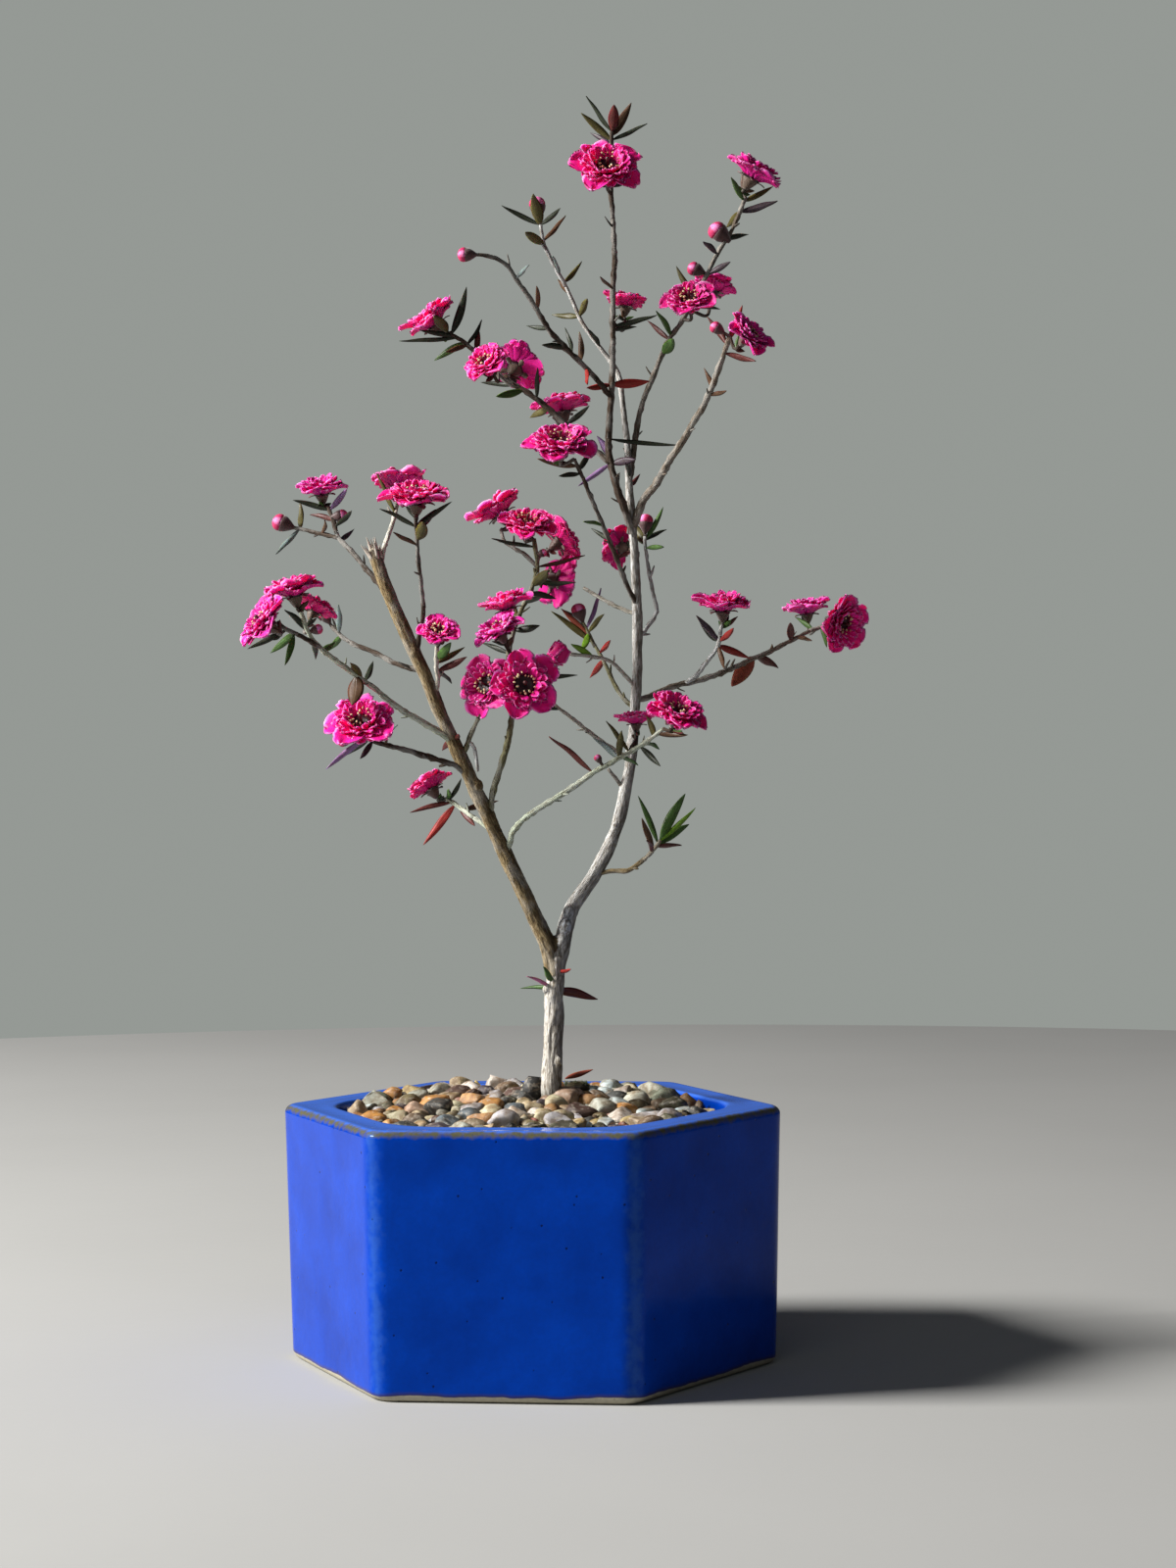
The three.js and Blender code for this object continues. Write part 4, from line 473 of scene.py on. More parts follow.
def lathe(profile, sides, ribs=0.0, seed=0):
    """A closed turned form about the z axis through [radius, height] points, bottom first."""
    profile = np.array(profile, float)
    turn = turns(sides)
    radii = profile[:, :1] * (1 + ribs * np.cos(5 * turn + 0.35 * profile[:, 1:]))
    rings = stacked(radii * np.cos(turn), radii * np.sin(turn), profile[:, 1:])
    grain = stacked(np.cos(turn), np.linspace(0, 1, len(profile))[:, None], seed)
    return loft(rings, grain, (0, 0, profile[0, 1]), (0, 0, profile[-1, 1]))


def moved(shape, axes, origin):
    """A shape taken from local axes, given as rows, to its place."""
    points, faces, grain = shape
    return points @ axes + origin, faces, grain


# Objects

def mesh_of(name, points, faces):
    """A mesh from points in millimetres."""
    mesh = bpy.data.meshes.new(name)
    mesh.from_pydata((points * MM).tolist(), [], faces)
    return mesh


def placed(name, content):
    """A new object in the scene."""
    thing = bpy.data.objects.new(name, content)
    bpy.context.collection.objects.link(thing)
    return thing


def finished(blank):
    """The mesh that a blank's modifiers make of it. The blank goes."""
    mesh = bpy.data.meshes.new_from_object(blank.evaluated_get(bpy.context.evaluated_depsgraph_get()))
    bpy.data.objects.remove(blank)
    return mesh


def places_of(mesh):
    """A mesh's points in millimetres."""
    flat = np.empty(len(mesh.vertices) * 3)
    mesh.vertices.foreach_get("co", flat)
    return flat.reshape(-1, 3) / MM


def dressed(name, mesh, tones, grains, materials, node):
    """Makes the object, and lets it stand for the solid of a node."""
    colours = np.hstack([tones, np.ones((len(tones), 1))])
    mesh.polygons.foreach_set("use_smooth", [True] * len(mesh.polygons))
    mesh.attributes.new("tone", "FLOAT_COLOR", "POINT").data.foreach_set("color", colours.ravel())
    mesh.attributes.new("grain", "FLOAT_VECTOR", "POINT").data.foreach_set("vector", grains.ravel())
    for material in materials:
        mesh.materials.append(material)
    mesh.update()
    piece = placed(name, mesh)
    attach(piece, "root")
    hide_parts(node)


class Piece:
    """Closed surfaces of one object, with a material number, and each point's tone and grain."""

    def __init__(self, name):
        self.name = name
        self.points, self.faces, self.kinds, self.tones, self.grains = [], [], [], [], []
        self.count = 0

    def add(self, shape, kind=0, tone=(0.5, 0.5, 0.5)):
        points, faces, grain = shape
        for group in faces:
            self.faces += (group + self.count).tolist()
            self.kinds += [kind] * len(group)
        self.points.append(points)
        self.grains.append(grain)
        self.tones.append(np.broadcast_to(np.asarray(tone, float), (len(points), 3)))
        self.count += len(points)

    def build(self, materials, slot, node):
        mesh = mesh_of(self.name, np.vstack(self.points), self.faces)
        mesh.polygons.foreach_set("material_index", self.kinds)
        dressed(self.name, mesh, np.vstack(self.tones), np.vstack(self.grains), materials, node)


# Materials

class Paint:
    """A material's nodes. Lengths in it are in millimetres."""

    def __init__(self, name, **constants):
        self.material = bpy.data.materials.new(name)
        self.material.use_nodes = True
        self.nodes, self.links = self.material.node_tree.nodes, self.material.node_tree.links
        self.finish(**constants)
        coordinates = self.nodes.new("ShaderNodeTexCoord").outputs["Object"]
        self.place = self.vector("SCALE", coordinates, 1 / MM)

    def feed(self, node, inputs):
        """Links or sets a node's inputs."""
        for key, value in inputs.items():
            if isinstance(value, bpy.types.NodeSocket):
                self.links.new(value, node.inputs[key])
            else:
                node.inputs[key].default_value = value

    def make(self, kind, inputs, **settings):
        node = self.nodes.new("ShaderNode" + kind)
        for key, value in settings.items():
            setattr(node, key, value)
        self.feed(node, inputs)
        return node

    def vector(self, operation, first, second):
        key = "Scale" if operation == "SCALE" else 1
        return self.make("VectorMath", {0: first, key: second}, operation=operation).outputs[0]

    def attribute(self, name):
        node = self.make("Attribute", {}, attribute_name=name)
        return node.outputs["Color" if name == "tone" else "Vector"]

    def parts(self, vector):
        return self.make("SeparateXYZ", {0: vector}).outputs

    def math(self, operation, first, second=0.0):
        return self.make("Math", {0: first, 1: second}, operation=operation).outputs[0]

    def times(self, first, second):
        return self.math("MULTIPLY", first, second)

    def plus(self, first, second):
        return self.math("ADD", first, second)

    def noise(self, vector, scale, detail=3, roughness=0.55, distortion=0.0):
        inputs = {"Vector": vector, "Scale": scale, "Detail": detail, "Roughness": roughness}
        return self.make("TexNoise", inputs | {"Distortion": distortion}).outputs[0]

    def cells(self, vector, scale):
        return self.make("TexVoronoi", {"Vector": vector, "Scale": scale}).outputs["Distance"]

    def span(self, value, low, high, to_low=0.0, to_high=1.0):
        """Maps low..high to to_low..to_high, held at the ends."""
        inputs = {0: value, 1: low, 2: high, 3: to_low, 4: to_high}
        return self.make("MapRange", inputs).outputs[0]

    def soft(self, cloud, to_low=0.0, to_high=1.0):
        """Spreads the middle of a noise."""
        return self.span(cloud, 0.3, 0.7, to_low, to_high)

    def shifted(self, value, cloud, by):
        return self.plus(value, self.soft(cloud, -by, by))

    def mix(self, factor, first, second, blend="MIX"):
        inputs = {0: factor}
        for key, colour in ((6, first), (7, second)):
            inputs[key] = colour if isinstance(colour, bpy.types.NodeSocket) else (*colour, 1)
        return self.make("Mix", inputs, data_type="RGBA", blend_type=blend).outputs[2]

    def tinted(self, colour, tint):
        return self.mix(1, colour, tint, "MULTIPLY")

    def coat(self, below, above, value, *span):
        """One colour over another, where a value lies in a span."""
        return self.mix(self.span(value, *span), below, above)

    def bump(self, height, distance, strength=1.0, normal=None):
        inputs = {"Height": height, "Distance": distance * MM, "Strength": strength}
        if normal:
            inputs["Normal"] = normal
        return self.make("Bump", inputs).outputs[0]

    def finish(self, **sockets):
        """Sets or links sockets of the shader."""
        shader = self.nodes["Principled BSDF"]
        self.feed(shader, {socket.replace("_", " "): value for socket, value in sockets.items()})
        return self.material


def glaze_material():
    """Cobalt glaze that breaks to khaki on the top edge, thins on upright edges and stops above the foot; the
    flat top of the rim is painted lighter as a painted highlight.
    """
    p = Paint("cobalt_glaze", Coat_Weight=0.05, Coat_Roughness=0.04, Specular_IOR_Level=0.1,
              Specular_Tint=(0.1, 0.4, 1, 1))
    top, side, height = p.parts(p.attribute("grain"))
    mottle, fine = p.noise(p.place, 0.07, 4), p.noise(p.place, 1.1)
    blue = p.mix(p.soft(mottle), (0.0003, 0.032, 0.31), (0.0006, 0.049, 0.45))
    blue = p.coat(blue, (0.001, 0.022, 0.20), fine, 0.35, 0.7, 0, 0.22)
    broken = p.span(p.shifted(top, p.noise(p.place, 0.5, 4), 0.45), 0.8, 1.7, 1, 0)
    khaki = p.mix(p.noise(p.place, 1.6), (0.14, 0.12, 0.03), (0.05, 0.055, 0.02))
    # painted highlight: the flat top of the rim gets a lighter blue, standing for light falling on it
    colour = p.coat(blue, (0.06, 0.18, 0.72), height, POT_HEIGHT - 0.7, POT_HEIGHT - 0.2, 0, 0.75)
    colour = p.mix(p.times(broken, 0.93), colour, khaki)
    streak = p.shifted(side, p.noise(p.place, 0.4, 4), 1.2)
    colour = p.coat(colour, (0.10, 0.24, 0.42), streak, 0.0, 2.2, 0.16, 0)
    pinholes = p.span(p.cells(p.place, 0.22), 0.045, 0.075, 0.8, 0)
    colour = p.mix(pinholes, colour, (0.002, 0.004, 0.02))
    foot = p.shifted(height, p.noise(p.place, 0.07), 0.4)
    bare = p.span(foot, 1.45, 1.65, 1, 0)
    colour = p.coat(colour, (0.06, 0.035, 0.02), foot, 1.6, 2.5, 0.7, 0)
    colour = p.mix(bare, colour, p.mix(p.noise(p.place, 0.9, 5), (0.52, 0.48, 0.36), (0.32, 0.29, 0.22)))
    rough = p.plus(p.soft(fine, 0.05, 0.11), p.times(bare, 0.65))
    rough = p.plus(rough, p.times(broken, 0.10))
    normal = p.bump(pinholes, -0.2, 0.6, p.bump(mottle, 1.0, 0.2))
    normal = p.bump(p.noise(p.place, 2.2, 4), 0.12, p.times(bare, 0.8), normal)
    return p.finish(Base_Color=colour, Roughness=rough, Normal=normal)


def soil_material():
    p = Paint("dark_soil", Roughness=0.95)
    crumbs = p.noise(p.place, 0.7, 6, 0.65)
    colour = p.mix(crumbs, (0.010, 0.006, 0.004), (0.055, 0.034, 0.020))
    colour = p.coat(colour, (0.14, 0.10, 0.06), p.cells(p.place, 0.9), 0.0, 0.2, 0.5, 0)
    return p.finish(Base_Color=colour, Normal=p.bump(crumbs, 1.2))


def grit_material():
    p = Paint("fine_grit", Roughness=0.9)
    grain = p.make("TexVoronoi", {"Vector": p.place, "Scale": 1.1}).outputs
    colour = p.mix(p.noise(grain["Position"], 0.7, 2), (0.035, 0.026, 0.018), (0.20, 0.16, 0.11))
    return p.finish(Base_Color=colour, Normal=p.bump(grain["Distance"], -0.7))


def stone_material(name, speckle, gloss, clear):
    """Rolled stone: tone with cloudy patches, specks and thin darker bands."""
    p = Paint(name, Subsurface_Weight=clear, Subsurface_Scale=0.0012, Subsurface_Radius=(1, 0.8, 0.7))
    tone, grain = p.attribute("tone"), p.attribute("grain")
    colour = p.coat(tone, p.tinted(tone, (0.45, 0.36, 0.28)), p.noise(grain, 0.45, 4), 0.38, 0.62)
    bands = p.noise(p.vector("MULTIPLY", grain, (0.25, 0.25, 2.4)), 0.8, 3, 0.5, 0.6)
    colour = p.coat(colour, (0.22, 0.15, 0.10), bands, 0.56, 0.66, 0, 0.4)
    colour = p.coat(colour, (0.62, 0.56, 0.46), p.noise(grain, 0.8), 0.54, 0.66, 0, 0.35)
    colour = p.coat(colour, (0.03, 0.026, 0.024), p.cells(grain, 2.6), 0.1, 0.24, speckle, 0)
    fine = p.noise(grain, 3.5, 5, 0.6)
    return p.finish(Base_Color=colour, Roughness=p.soft(fine, gloss, gloss + 0.22), Normal=p.bump(fine, 0.16))


def bark_material(name, flake, crack):
    """Bark with lengthwise fibres, dark cracks, pale patches, black flecks and a damp foot."""
    p = Paint(name, Specular_IOR_Level=0.25)
    tone, grain = p.attribute("tone"), p.attribute("grain")
    long, short = (p.vector("MULTIPLY", grain, (1, squeeze, 1)) for squeeze in (0.14, 0.4))
    fibres, cracks = p.noise(long, 3.4, 5, 0.62, 0.6), p.noise(long, 1.6, 4, 0.6, 0.8)
    patches = p.noise(short, 0.35, 4)
    colour = p.coat(p.tinted(tone, (0.40, 0.35, 0.29)), tone, fibres, 0.40, 0.56)
    colour = p.coat(colour, (0.66, 0.66, 0.62), patches, 0.46, 0.60, 0, flake)
    colour = p.coat(colour, (0.040, 0.028, 0.018), cracks, 0.30, 0.40, crack, 0)
    colour = p.coat(colour, (0.035, 0.030, 0.024), p.cells(short, 1.1), 0.08, 0.2, 0.75 * crack, 0)
    damp = p.shifted(p.parts(p.place)[2], patches, 1.5)
    colour = p.coat(colour, (0.016, 0.020, 0.010), damp, 62, 66.5, 0.85, 0)
    normal = p.bump(cracks, 0.5, 0.8, p.bump(fibres, 0.4))
    return p.finish(Base_Color=colour, Roughness=p.soft(fibres, 0.92, 0.72), Normal=normal)


def torn_wood_material():
    p = Paint("torn_wood", Roughness=0.85)
    fibres = p.noise(p.vector("MULTIPLY", p.attribute("grain"), (1, 0.12, 1)), 3.2, 5, 0.6)
    return p.finish(Base_Color=p.mix(fibres, (0.20, 0.13, 0.08), (0.80, 0.76, 0.68)),
                    Normal=p.bump(fibres, 0.3))


def leaf_material():
    """A small firm leaf: pale midrib, faint side veins, a redder margin, a paler lower face."""
    p = Paint("leaf", Subsurface_Weight=0.15, Subsurface_Scale=0.0005, Subsurface_Radius=(0.8, 1, 0.3),
              Specular_IOR_Level=0.2)
    tone = p.attribute("tone")
    across, along, seed = p.parts(p.attribute("grain"))
    offset, patches = p.math("ABSOLUTE", across), p.noise(p.place, 0.5)
    colour = p.mix(p.soft(patches), p.tinted(tone, (0.6, 0.5, 0.5)), tone)
    colour = p.mix(p.times(p.span(seed, 0.98, 1.02), 0.08), colour, (0.20, 0.24, 0.16))
    slant = p.math("SUBTRACT", along, p.times(offset, 0.12))
    ribs = p.times(p.span(p.math("SINE", p.times(slant, 60)), 0.2, 1), p.span(offset, 0.05, 0.9, 0.14, 0))
    midrib = p.span(offset, 0.04, 0.12, 0.35, 0)
    pale = p.mix(0.2, tone, (0.36, 0.34, 0.20))
    colour = p.mix(midrib, p.mix(ribs, colour, pale), pale)
    colour = p.coat(colour, (0.09, 0.02, 0.02), offset, 0.8, 0.98, 0, 0.3)
    normal = p.bump(patches, 0.15, 0.5, p.bump(midrib, -0.08, 0.8))
    return p.finish(Base_Color=colour, Roughness=p.soft(patches, 0.34, 0.5), Normal=normal)


def petal_material():
    """A crimson claw painted darker as shade deep in the bloom, magenta in the middle, a paler lilac margin
    that is partly the petal's own edge and partly a painted highlight, fine veins, and a back painted darker
    as shade.
    """
    p = Paint("petal", Specular_IOR_Level=0.22, Subsurface_Weight=0.4, Subsurface_Scale=0.001,
              Subsurface_Radius=(1, 0.12, 0.35))
    tone = p.attribute("tone")
    across, along, seed = p.parts(p.attribute("grain"))
    cloud = p.noise(p.place, 0.5)
    # painted shade: the claw, deep in the bloom, is darkened to crimson
    colour = p.coat(p.tinted(tone, (0.5, 0.2, 0.4)), tone, p.shifted(along, cloud, 0.12), 0.0, 0.3)
    # painted highlight along the margin and tip, partly also the petal's own paler edge
    rim = p.math("MAXIMUM", p.span(p.math("ABSOLUTE", across), 0.8, 1), p.span(along, 0.86, 1))
    colour = p.mix(p.times(rim, p.span(cloud, 0.35, 0.65, 0.3, 0.9)), colour, (0.98, 0.36, 0.72))
    fan = p.plus(p.times(across, p.span(along, 0, 1, 34, 22)), p.times(cloud, 5))
    veins = p.times(p.span(p.math("SINE", fan), 0.35, 1), p.span(along, 0.1, 0.95, 0.2, 0.05))
    colour = p.mix(veins, colour, p.tinted(colour, (0.6, 0.3, 0.5)))
    # painted shade: the lower face of each petal is darkened
    colour = p.mix(p.times(p.span(seed, 0.98, 1.02), 0.4), colour, p.tinted(tone, (0.75, 0.4, 0.6)))
    normal = p.bump(p.noise(p.place, 0.8), 0.08, 0.4, p.bump(veins, 0.03, 0.5))
    return p.finish(Base_Color=colour, Roughness=p.soft(cloud, 0.45, 0.62), Normal=normal)


def small_part_material(name, relief, scale, low, high, **constants):
    """Tone with a fine relief: calyx, stamens, the bloom's centre, moss."""
    p = Paint(name, **constants)
    tone, fine = p.attribute("tone"), p.noise(p.place, scale, 4)
    colour = p.mix(p.soft(fine), p.tinted(tone, (0.45, 0.4, 0.4)), tone)
    return p.finish(Base_Color=colour, Roughness=p.soft(fine, low, high), Normal=p.bump(fine, relief))


def floor_material():
    p = Paint("pale_floor", Specular_IOR_Level=0.1)
    colour = p.mix(p.noise(p.place, 0.004), (0.36, 0.36, 0.35), (0.42, 0.42, 0.41))
    return p.finish(Base_Color=colour, Roughness=p.soft(p.noise(p.place, 0.2), 0.8, 0.95))


GLAZE, SOIL, GRIT = glaze_material(), soil_material(), grit_material()
STONE_KINDS = [stone_material("dull_stone", 0.5, 0.55, 0), stone_material("smooth_stone", 0.25, 0.4, 0),
               stone_material("milky_stone", 0.1, 0.3, 0.15)]
LIMB_BARK, TWIG_BARK = bark_material("limb_bark", 0.25, 0.8), bark_material("twig_bark", 0.3, 0.45)
TORN_WOOD, LEAF, PETAL = torn_wood_material(), leaf_material(), petal_material()
HEART = small_part_material("bloom_centre", 0.12, 3, 0.3, 0.5)
STAMEN = small_part_material("stamen", 0.05, 4, 0.4, 0.6, Subsurface_Weight=0.2, Subsurface_Scale=0.0003)
CALYX = small_part_material("calyx", 0.12, 2.2, 0.45, 0.7, Sheen_Weight=0.4, Sheen_Roughness=0.5)
MOSS = small_part_material("moss", 0.15, 3, 0.8, 0.95, Sheen_Weight=0.3)


# The pot

def edge_angle(heading):
    """Angle between a heading and the middle of the nearest side."""
    return np.abs((heading - POT_TURN + TAU / 12) % (TAU / 6) - TAU / 12)


def hexagon_radius(heading, inradius, edge):
    """Distance from the axis to a six-sided outline with rounded corners, at headings from the front."""
    away = edge_angle(heading)
    middle = (inradius - edge) / math.cos(TAU / 12)
    turned = TAU / 12 - away
    arc = middle * np.cos(turned) + np.sqrt(np.maximum(edge ** 2 - (middle * np.sin(turned)) ** 2, 0))
    on_arc = np.tan(away) * inradius > (inradius - edge) * math.tan(TAU / 12)
    return np.where(on_arc, arc, inradius / np.cos(away))


def spaced_headings(per_side):
    """Headings round the pot, closer together near its edges."""
    share = (np.arange(per_side) + 0.5) / per_side * 2 - 1
    fold = np.sign(share) * (1 - (1 - np.abs(share)) ** 1.6) * TAU / 12
    return np.concatenate([POT_TURN + side * TAU / 6 + fold for side in range(6)])


def ring_points(heading, radius, height):
    """Points at headings taken from the front."""
    return stacked(radius * np.sin(heading), -radius * np.cos(heading), height)


def corner_arc(count):
    """Shares of a quarter turn: how far in, how far up."""
    turn = np.linspace(0, TAU / 4, count)
    return list(zip(1 - np.cos(turn), np.sin(turn)))


def pot_scale(height):
    """The pot narrows a little towards its foot."""
    return POT_FOOT_SCALE + (1 - POT_FOOT_SCALE) * height / POT_HEIGHT


def build_pot():
    """The pot from its underside, over the rim, to its floor inside."""
    heading = spaced_headings(36)

    def outside(inset, height):
        wave = [0.1 * noise.noise(Vector((math.sin(h) * 1.7, math.cos(h) * 1.7, height * 0.03)))
                for h in heading]
        radius = hexagon_radius(heading, POT_INRADIUS - inset, POT_EDGE_ROUND) * pot_scale(height)
        return ring_points(heading, radius + np.array(wave), height)

    def inside(inset, height):
        radius = hexagon_radius(heading, OPENING_INRADIUS + inset, OPENING_EDGE_ROUND)
        return ring_points(heading, radius, height)

    rings = [outside(POT_INRADIUS * share, 0) for share in (0.85, 0.7, 0.5, 0.3, 0.15, 0.06)]
    rings += [outside(RIM_ROUND * (1 - up), RIM_ROUND * in_) for in_, up in corner_arc(7)]
    rings += [outside(0, height) for height in np.linspace(3, POT_HEIGHT - RIM_ROUND - 1, 30)]
    rings += [outside(RIM_ROUND * in_, POT_HEIGHT - RIM_ROUND * (1 - up)) for in_, up in corner_arc(9)]
    rim_out, rim_in = outside(RIM_ROUND, POT_HEIGHT), inside(LIP_ROUND, POT_HEIGHT)
    for share in (0.15, 0.3, 0.5, 0.7, 0.85, 1):
        sag = np.array([0, 0, 0.15 * math.sin(share * math.pi)])
        rings.append(rim_out * (1 - share) + rim_in * share - sag)
    rings += [inside(LIP_ROUND * (1 - up), POT_HEIGHT - LIP_ROUND * in_) for in_, up in corner_arc(6)[1:]]
    rings += [inside(0, height) for height in np.linspace(POT_HEIGHT - LIP_ROUND - 1, POT_FLOOR, 12)]
    rings += [inside(-OPENING_INRADIUS * share, POT_FLOOR) for share in (0.3, 0.6, 0.9)]
    rings = np.array(rings)
    points, faces, _ = loft(rings, np.zeros(rings.shape), (0, 0, 0), (0, 0, POT_FLOOR))
    mesh = drained(mesh_of("glazed_pot", points, faces[0].tolist() + faces[1].tolist()))
    places = places_of(mesh)
    heads = np.arctan2(places[:, 0], -places[:, 1])
    reach = np.hypot(places[:, 0], places[:, 1])
    outline = hexagon_radius(heads, POT_INRADIUS, POT_EDGE_ROUND)
    out_gap = np.maximum(outline * pot_scale(places[:, 2]) - reach, 0)
    top = np.minimum(np.hypot(POT_HEIGHT - places[:, 2], out_gap), 9)
    edge = np.where(out_gap < 1, (TAU / 12 - edge_angle(heads)) * reach, 9)
    grains = stacked(top, edge, np.where(out_gap < 30, places[:, 2], 20))
    dressed("glazed_pot", mesh, np.tile((0.02, 0.11, 0.9), (len(places), 1)), grains, [GLAZE], "pot")


def drained(mesh):
    """The pot with its drain holes cut through the floor."""
    pot = placed("pot_blank", mesh)
    cutter = Piece("drain_cutter")
    for turn in range(3):
        x, y = DRAIN_DISTANCE * math.cos(turn * TAU / 3), DRAIN_DISTANCE * math.sin(turn * TAU / 3)
        bar = lathe([[DRAIN_RADIUS + 0.6, -1], [DRAIN_RADIUS, 0.4], [DRAIN_RADIUS, POT_FLOOR + 1]], 32)
        cutter.add(moved(bar, np.eye(3), (x, y, 0)))
    tool = placed("drain_cutter", mesh_of("drain_cutter", np.vstack(cutter.points), cutter.faces))
    change = pot.modifiers.new("drains", "BOOLEAN")
    change.object = tool
    change.operation = "DIFFERENCE"
    result = finished(pot)
    bpy.data.objects.remove(tool)
    return result


# The gravel

def bed_height(x, y):
    """Height of the gravel: flat, with a low mound, and a rise towards the back wall."""
    reach = math.hypot(x - MOUND_MIDDLE[0], y - MOUND_MIDDLE[1])
    rise = min(max((MOUND_RADIUS - reach) / (MOUND_RADIUS - MOUND_TOP_RADIUS), 0), 1)
    back = min(max((y - 0.22 * x + 2) / 28, 0), 1)
    return BED_TOP + max(MOUND_HEIGHT * rise, BACK_RISE * back * back * (3 - 2 * back))


def opening_inset(x, y):
    """How far a point lies inside the pot's opening."""
    heading = math.atan2(x, -y)
    outline = hexagon_radius(np.array([heading]), OPENING_INRADIUS, OPENING_EDGE_ROUND)[0]
    return outline - math.hypot(x, y)


def seat_of_stone(across, height):
    """Where the line of sight to a stone meets the bed."""
    best = None
    for depth in np.arange(-SEAT_REACH, SEAT_REACH, SEAT_STEP):
        place = along_sight(across, depth, height)
        gap = place[2] - bed_height(place[0], place[1]) - STONE_LIFT
        if opening_inset(place[0], place[1]) < SEAT_MARGIN:
            continue
        if best is None or abs(gap) < abs(best[0]):
            best = (gap, place)
    place = best[1].copy()
    place[2] = bed_height(place[0], place[1]) + STONE_LIFT
    return place


def ball(level):
    """Points and faces of a round ball of radius 1."""
    shape = bmesh.new()
    bmesh.ops.create_icosphere(shape, subdivisions=level, radius=1)
    points = np.array([vertex.co[:] for vertex in shape.verts])
    faces = np.array([[vertex.index for vertex in face.verts] for face in shape.faces])
    shape.free()
    return points, faces


BALL, SMALL_BALL = ball(3), ball(2)


def turned(yaw, pitch, roll):
    turn = Matrix.Rotation(yaw, 3, "Z") @ Matrix.Rotation(pitch, 3, "X") @ Matrix.Rotation(roll, 3, "Y")
    return np.array(turn)


def stone(place, size, draw):
    """A worn stone: a rounded box with low bumps."""
    points, faces = BALL
    start = Vector(draw.uniform(0, 90, 3))
    shaped = points.copy()
    for _ in range(int(draw.integers(6, 10))):
        cut = unit(draw.standard_normal(3))
        over = np.maximum(shaped @ cut - draw.uniform(0.45, 0.85), 0)
        shaped = shaped - over[:, None] * cut
    bumps = np.array([noise.noise(Vector(point) * 1.1 + start)
                      + 0.45 * noise.noise(Vector(point) * 2.6 + start) for point in points])
    shaped = shaped * (1 + 0.15 * bumps[:, None]) * size * STONE_SWELL
    lean = turned(draw.uniform(-0.5, 0.5), draw.uniform(-0.25, 0.25), draw.uniform(-0.25, 0.25))
    return shaped @ lean.T + place, [faces], shaped + draw.uniform(0, 200, 3)


def build_gravel():
    """A bed of grit, the listed stones, and loose ones where there is room."""
    draw = np.random.default_rng(11)
    inset = CLEARANCE + 0.05
    heading = spaced_headings(30)
    outline = hexagon_radius(heading, OPENING_INRADIUS - inset, OPENING_EDGE_ROUND)

    def top_ring(share):
        ring = ring_points(heading, outline * share, 0)
        for point in ring:
            grains = noise.noise(Vector(point) * 0.6) + 0.5 * noise.noise(Vector(point) * 1.7)
            point[2] = bed_height(point[0], point[1]) + STONE_LIFT - 1.5 + 0.6 * grains
        return ring

    bottom = SOIL_TOP + CLEARANCE
    rings = [ring_points(heading, outline * 0.5, bottom), ring_points(heading, outline, bottom)]
    rings += [top_ring(share) for share in np.linspace(1, 0.02, 40)]
    rings = np.array(rings)
    gravel = Piece("pea_gravel")
    gravel.add(loft(rings, rings.copy(), (0, 0, bottom)), 0)
    placed = []

    def set_stone(place, size, tone):
        base = np.array(STONE_TONES[tone])
        kind = 3 if tone in ("quartz", "bluish", "lilac") else 1 + int(draw.integers(2))
        shade = base * (0.96, 1.02, 0.92) * draw.uniform(0.6, 1.05)
        gravel.add(stone(place, size, draw), kind, np.clip(shade, 0.01, 1))
        placed.append((place[0], place[1], max(size[:2])))

    def inside_pot(place, size):
        short = opening_inset(place[0], place[1]) - max(size[:2]) * 1.06 - inset
        if short < 0:
            away = place[:2] / math.hypot(*place[:2])
            place[:2] += away * short

    for across, height, width, tall, tone in STONES:
        place = seat_of_stone(across, height)
        size = STONE_SWELL * np.array([width / 2, draw.uniform(0.75, 1) * width / 2,
                                       max(tall / 2, 0.6 * width / 2)])
        inside_pot(place, size)
        set_stone(place, size, tone)
    boulder = STEM_BASE + np.array([-4.2, 5, 0])
    boulder[2] = BOULDER_HEIGHT
    set_stone(boulder, np.array([2.9, 3.2, 4.2]), "black")
    names = sorted(STONE_TONES)
    for size_from, size_to, tries in LOOSE_STONES:
        for _ in range(tries):
            if len(placed) > MOST_STONES:
                break
            x, y = draw.uniform(-48, 48, 2)
            radius = draw.uniform(size_from, size_to)
            if opening_inset(x, y) < radius * 1.1 + inset or math.dist((x, y), STEM_BASE[:2]) < radius + 3.2:
                continue
            if any(math.dist((x, y), other[:2]) < 0.74 * (radius + other[2]) for other in placed):
                continue
            size = radius * np.array([1, draw.uniform(0.7, 1), draw.uniform(0.55, 0.85)])
            lift = STONE_LIFT - 0.5 + 0.25 * radius
            set_stone(np.array([x, y, bed_height(x, y) + lift]), size, names[int(draw.integers(len(names)))])
    gravel.build([GRIT, *STONE_KINDS], "pebbles", "gravel")


# The plant's lines

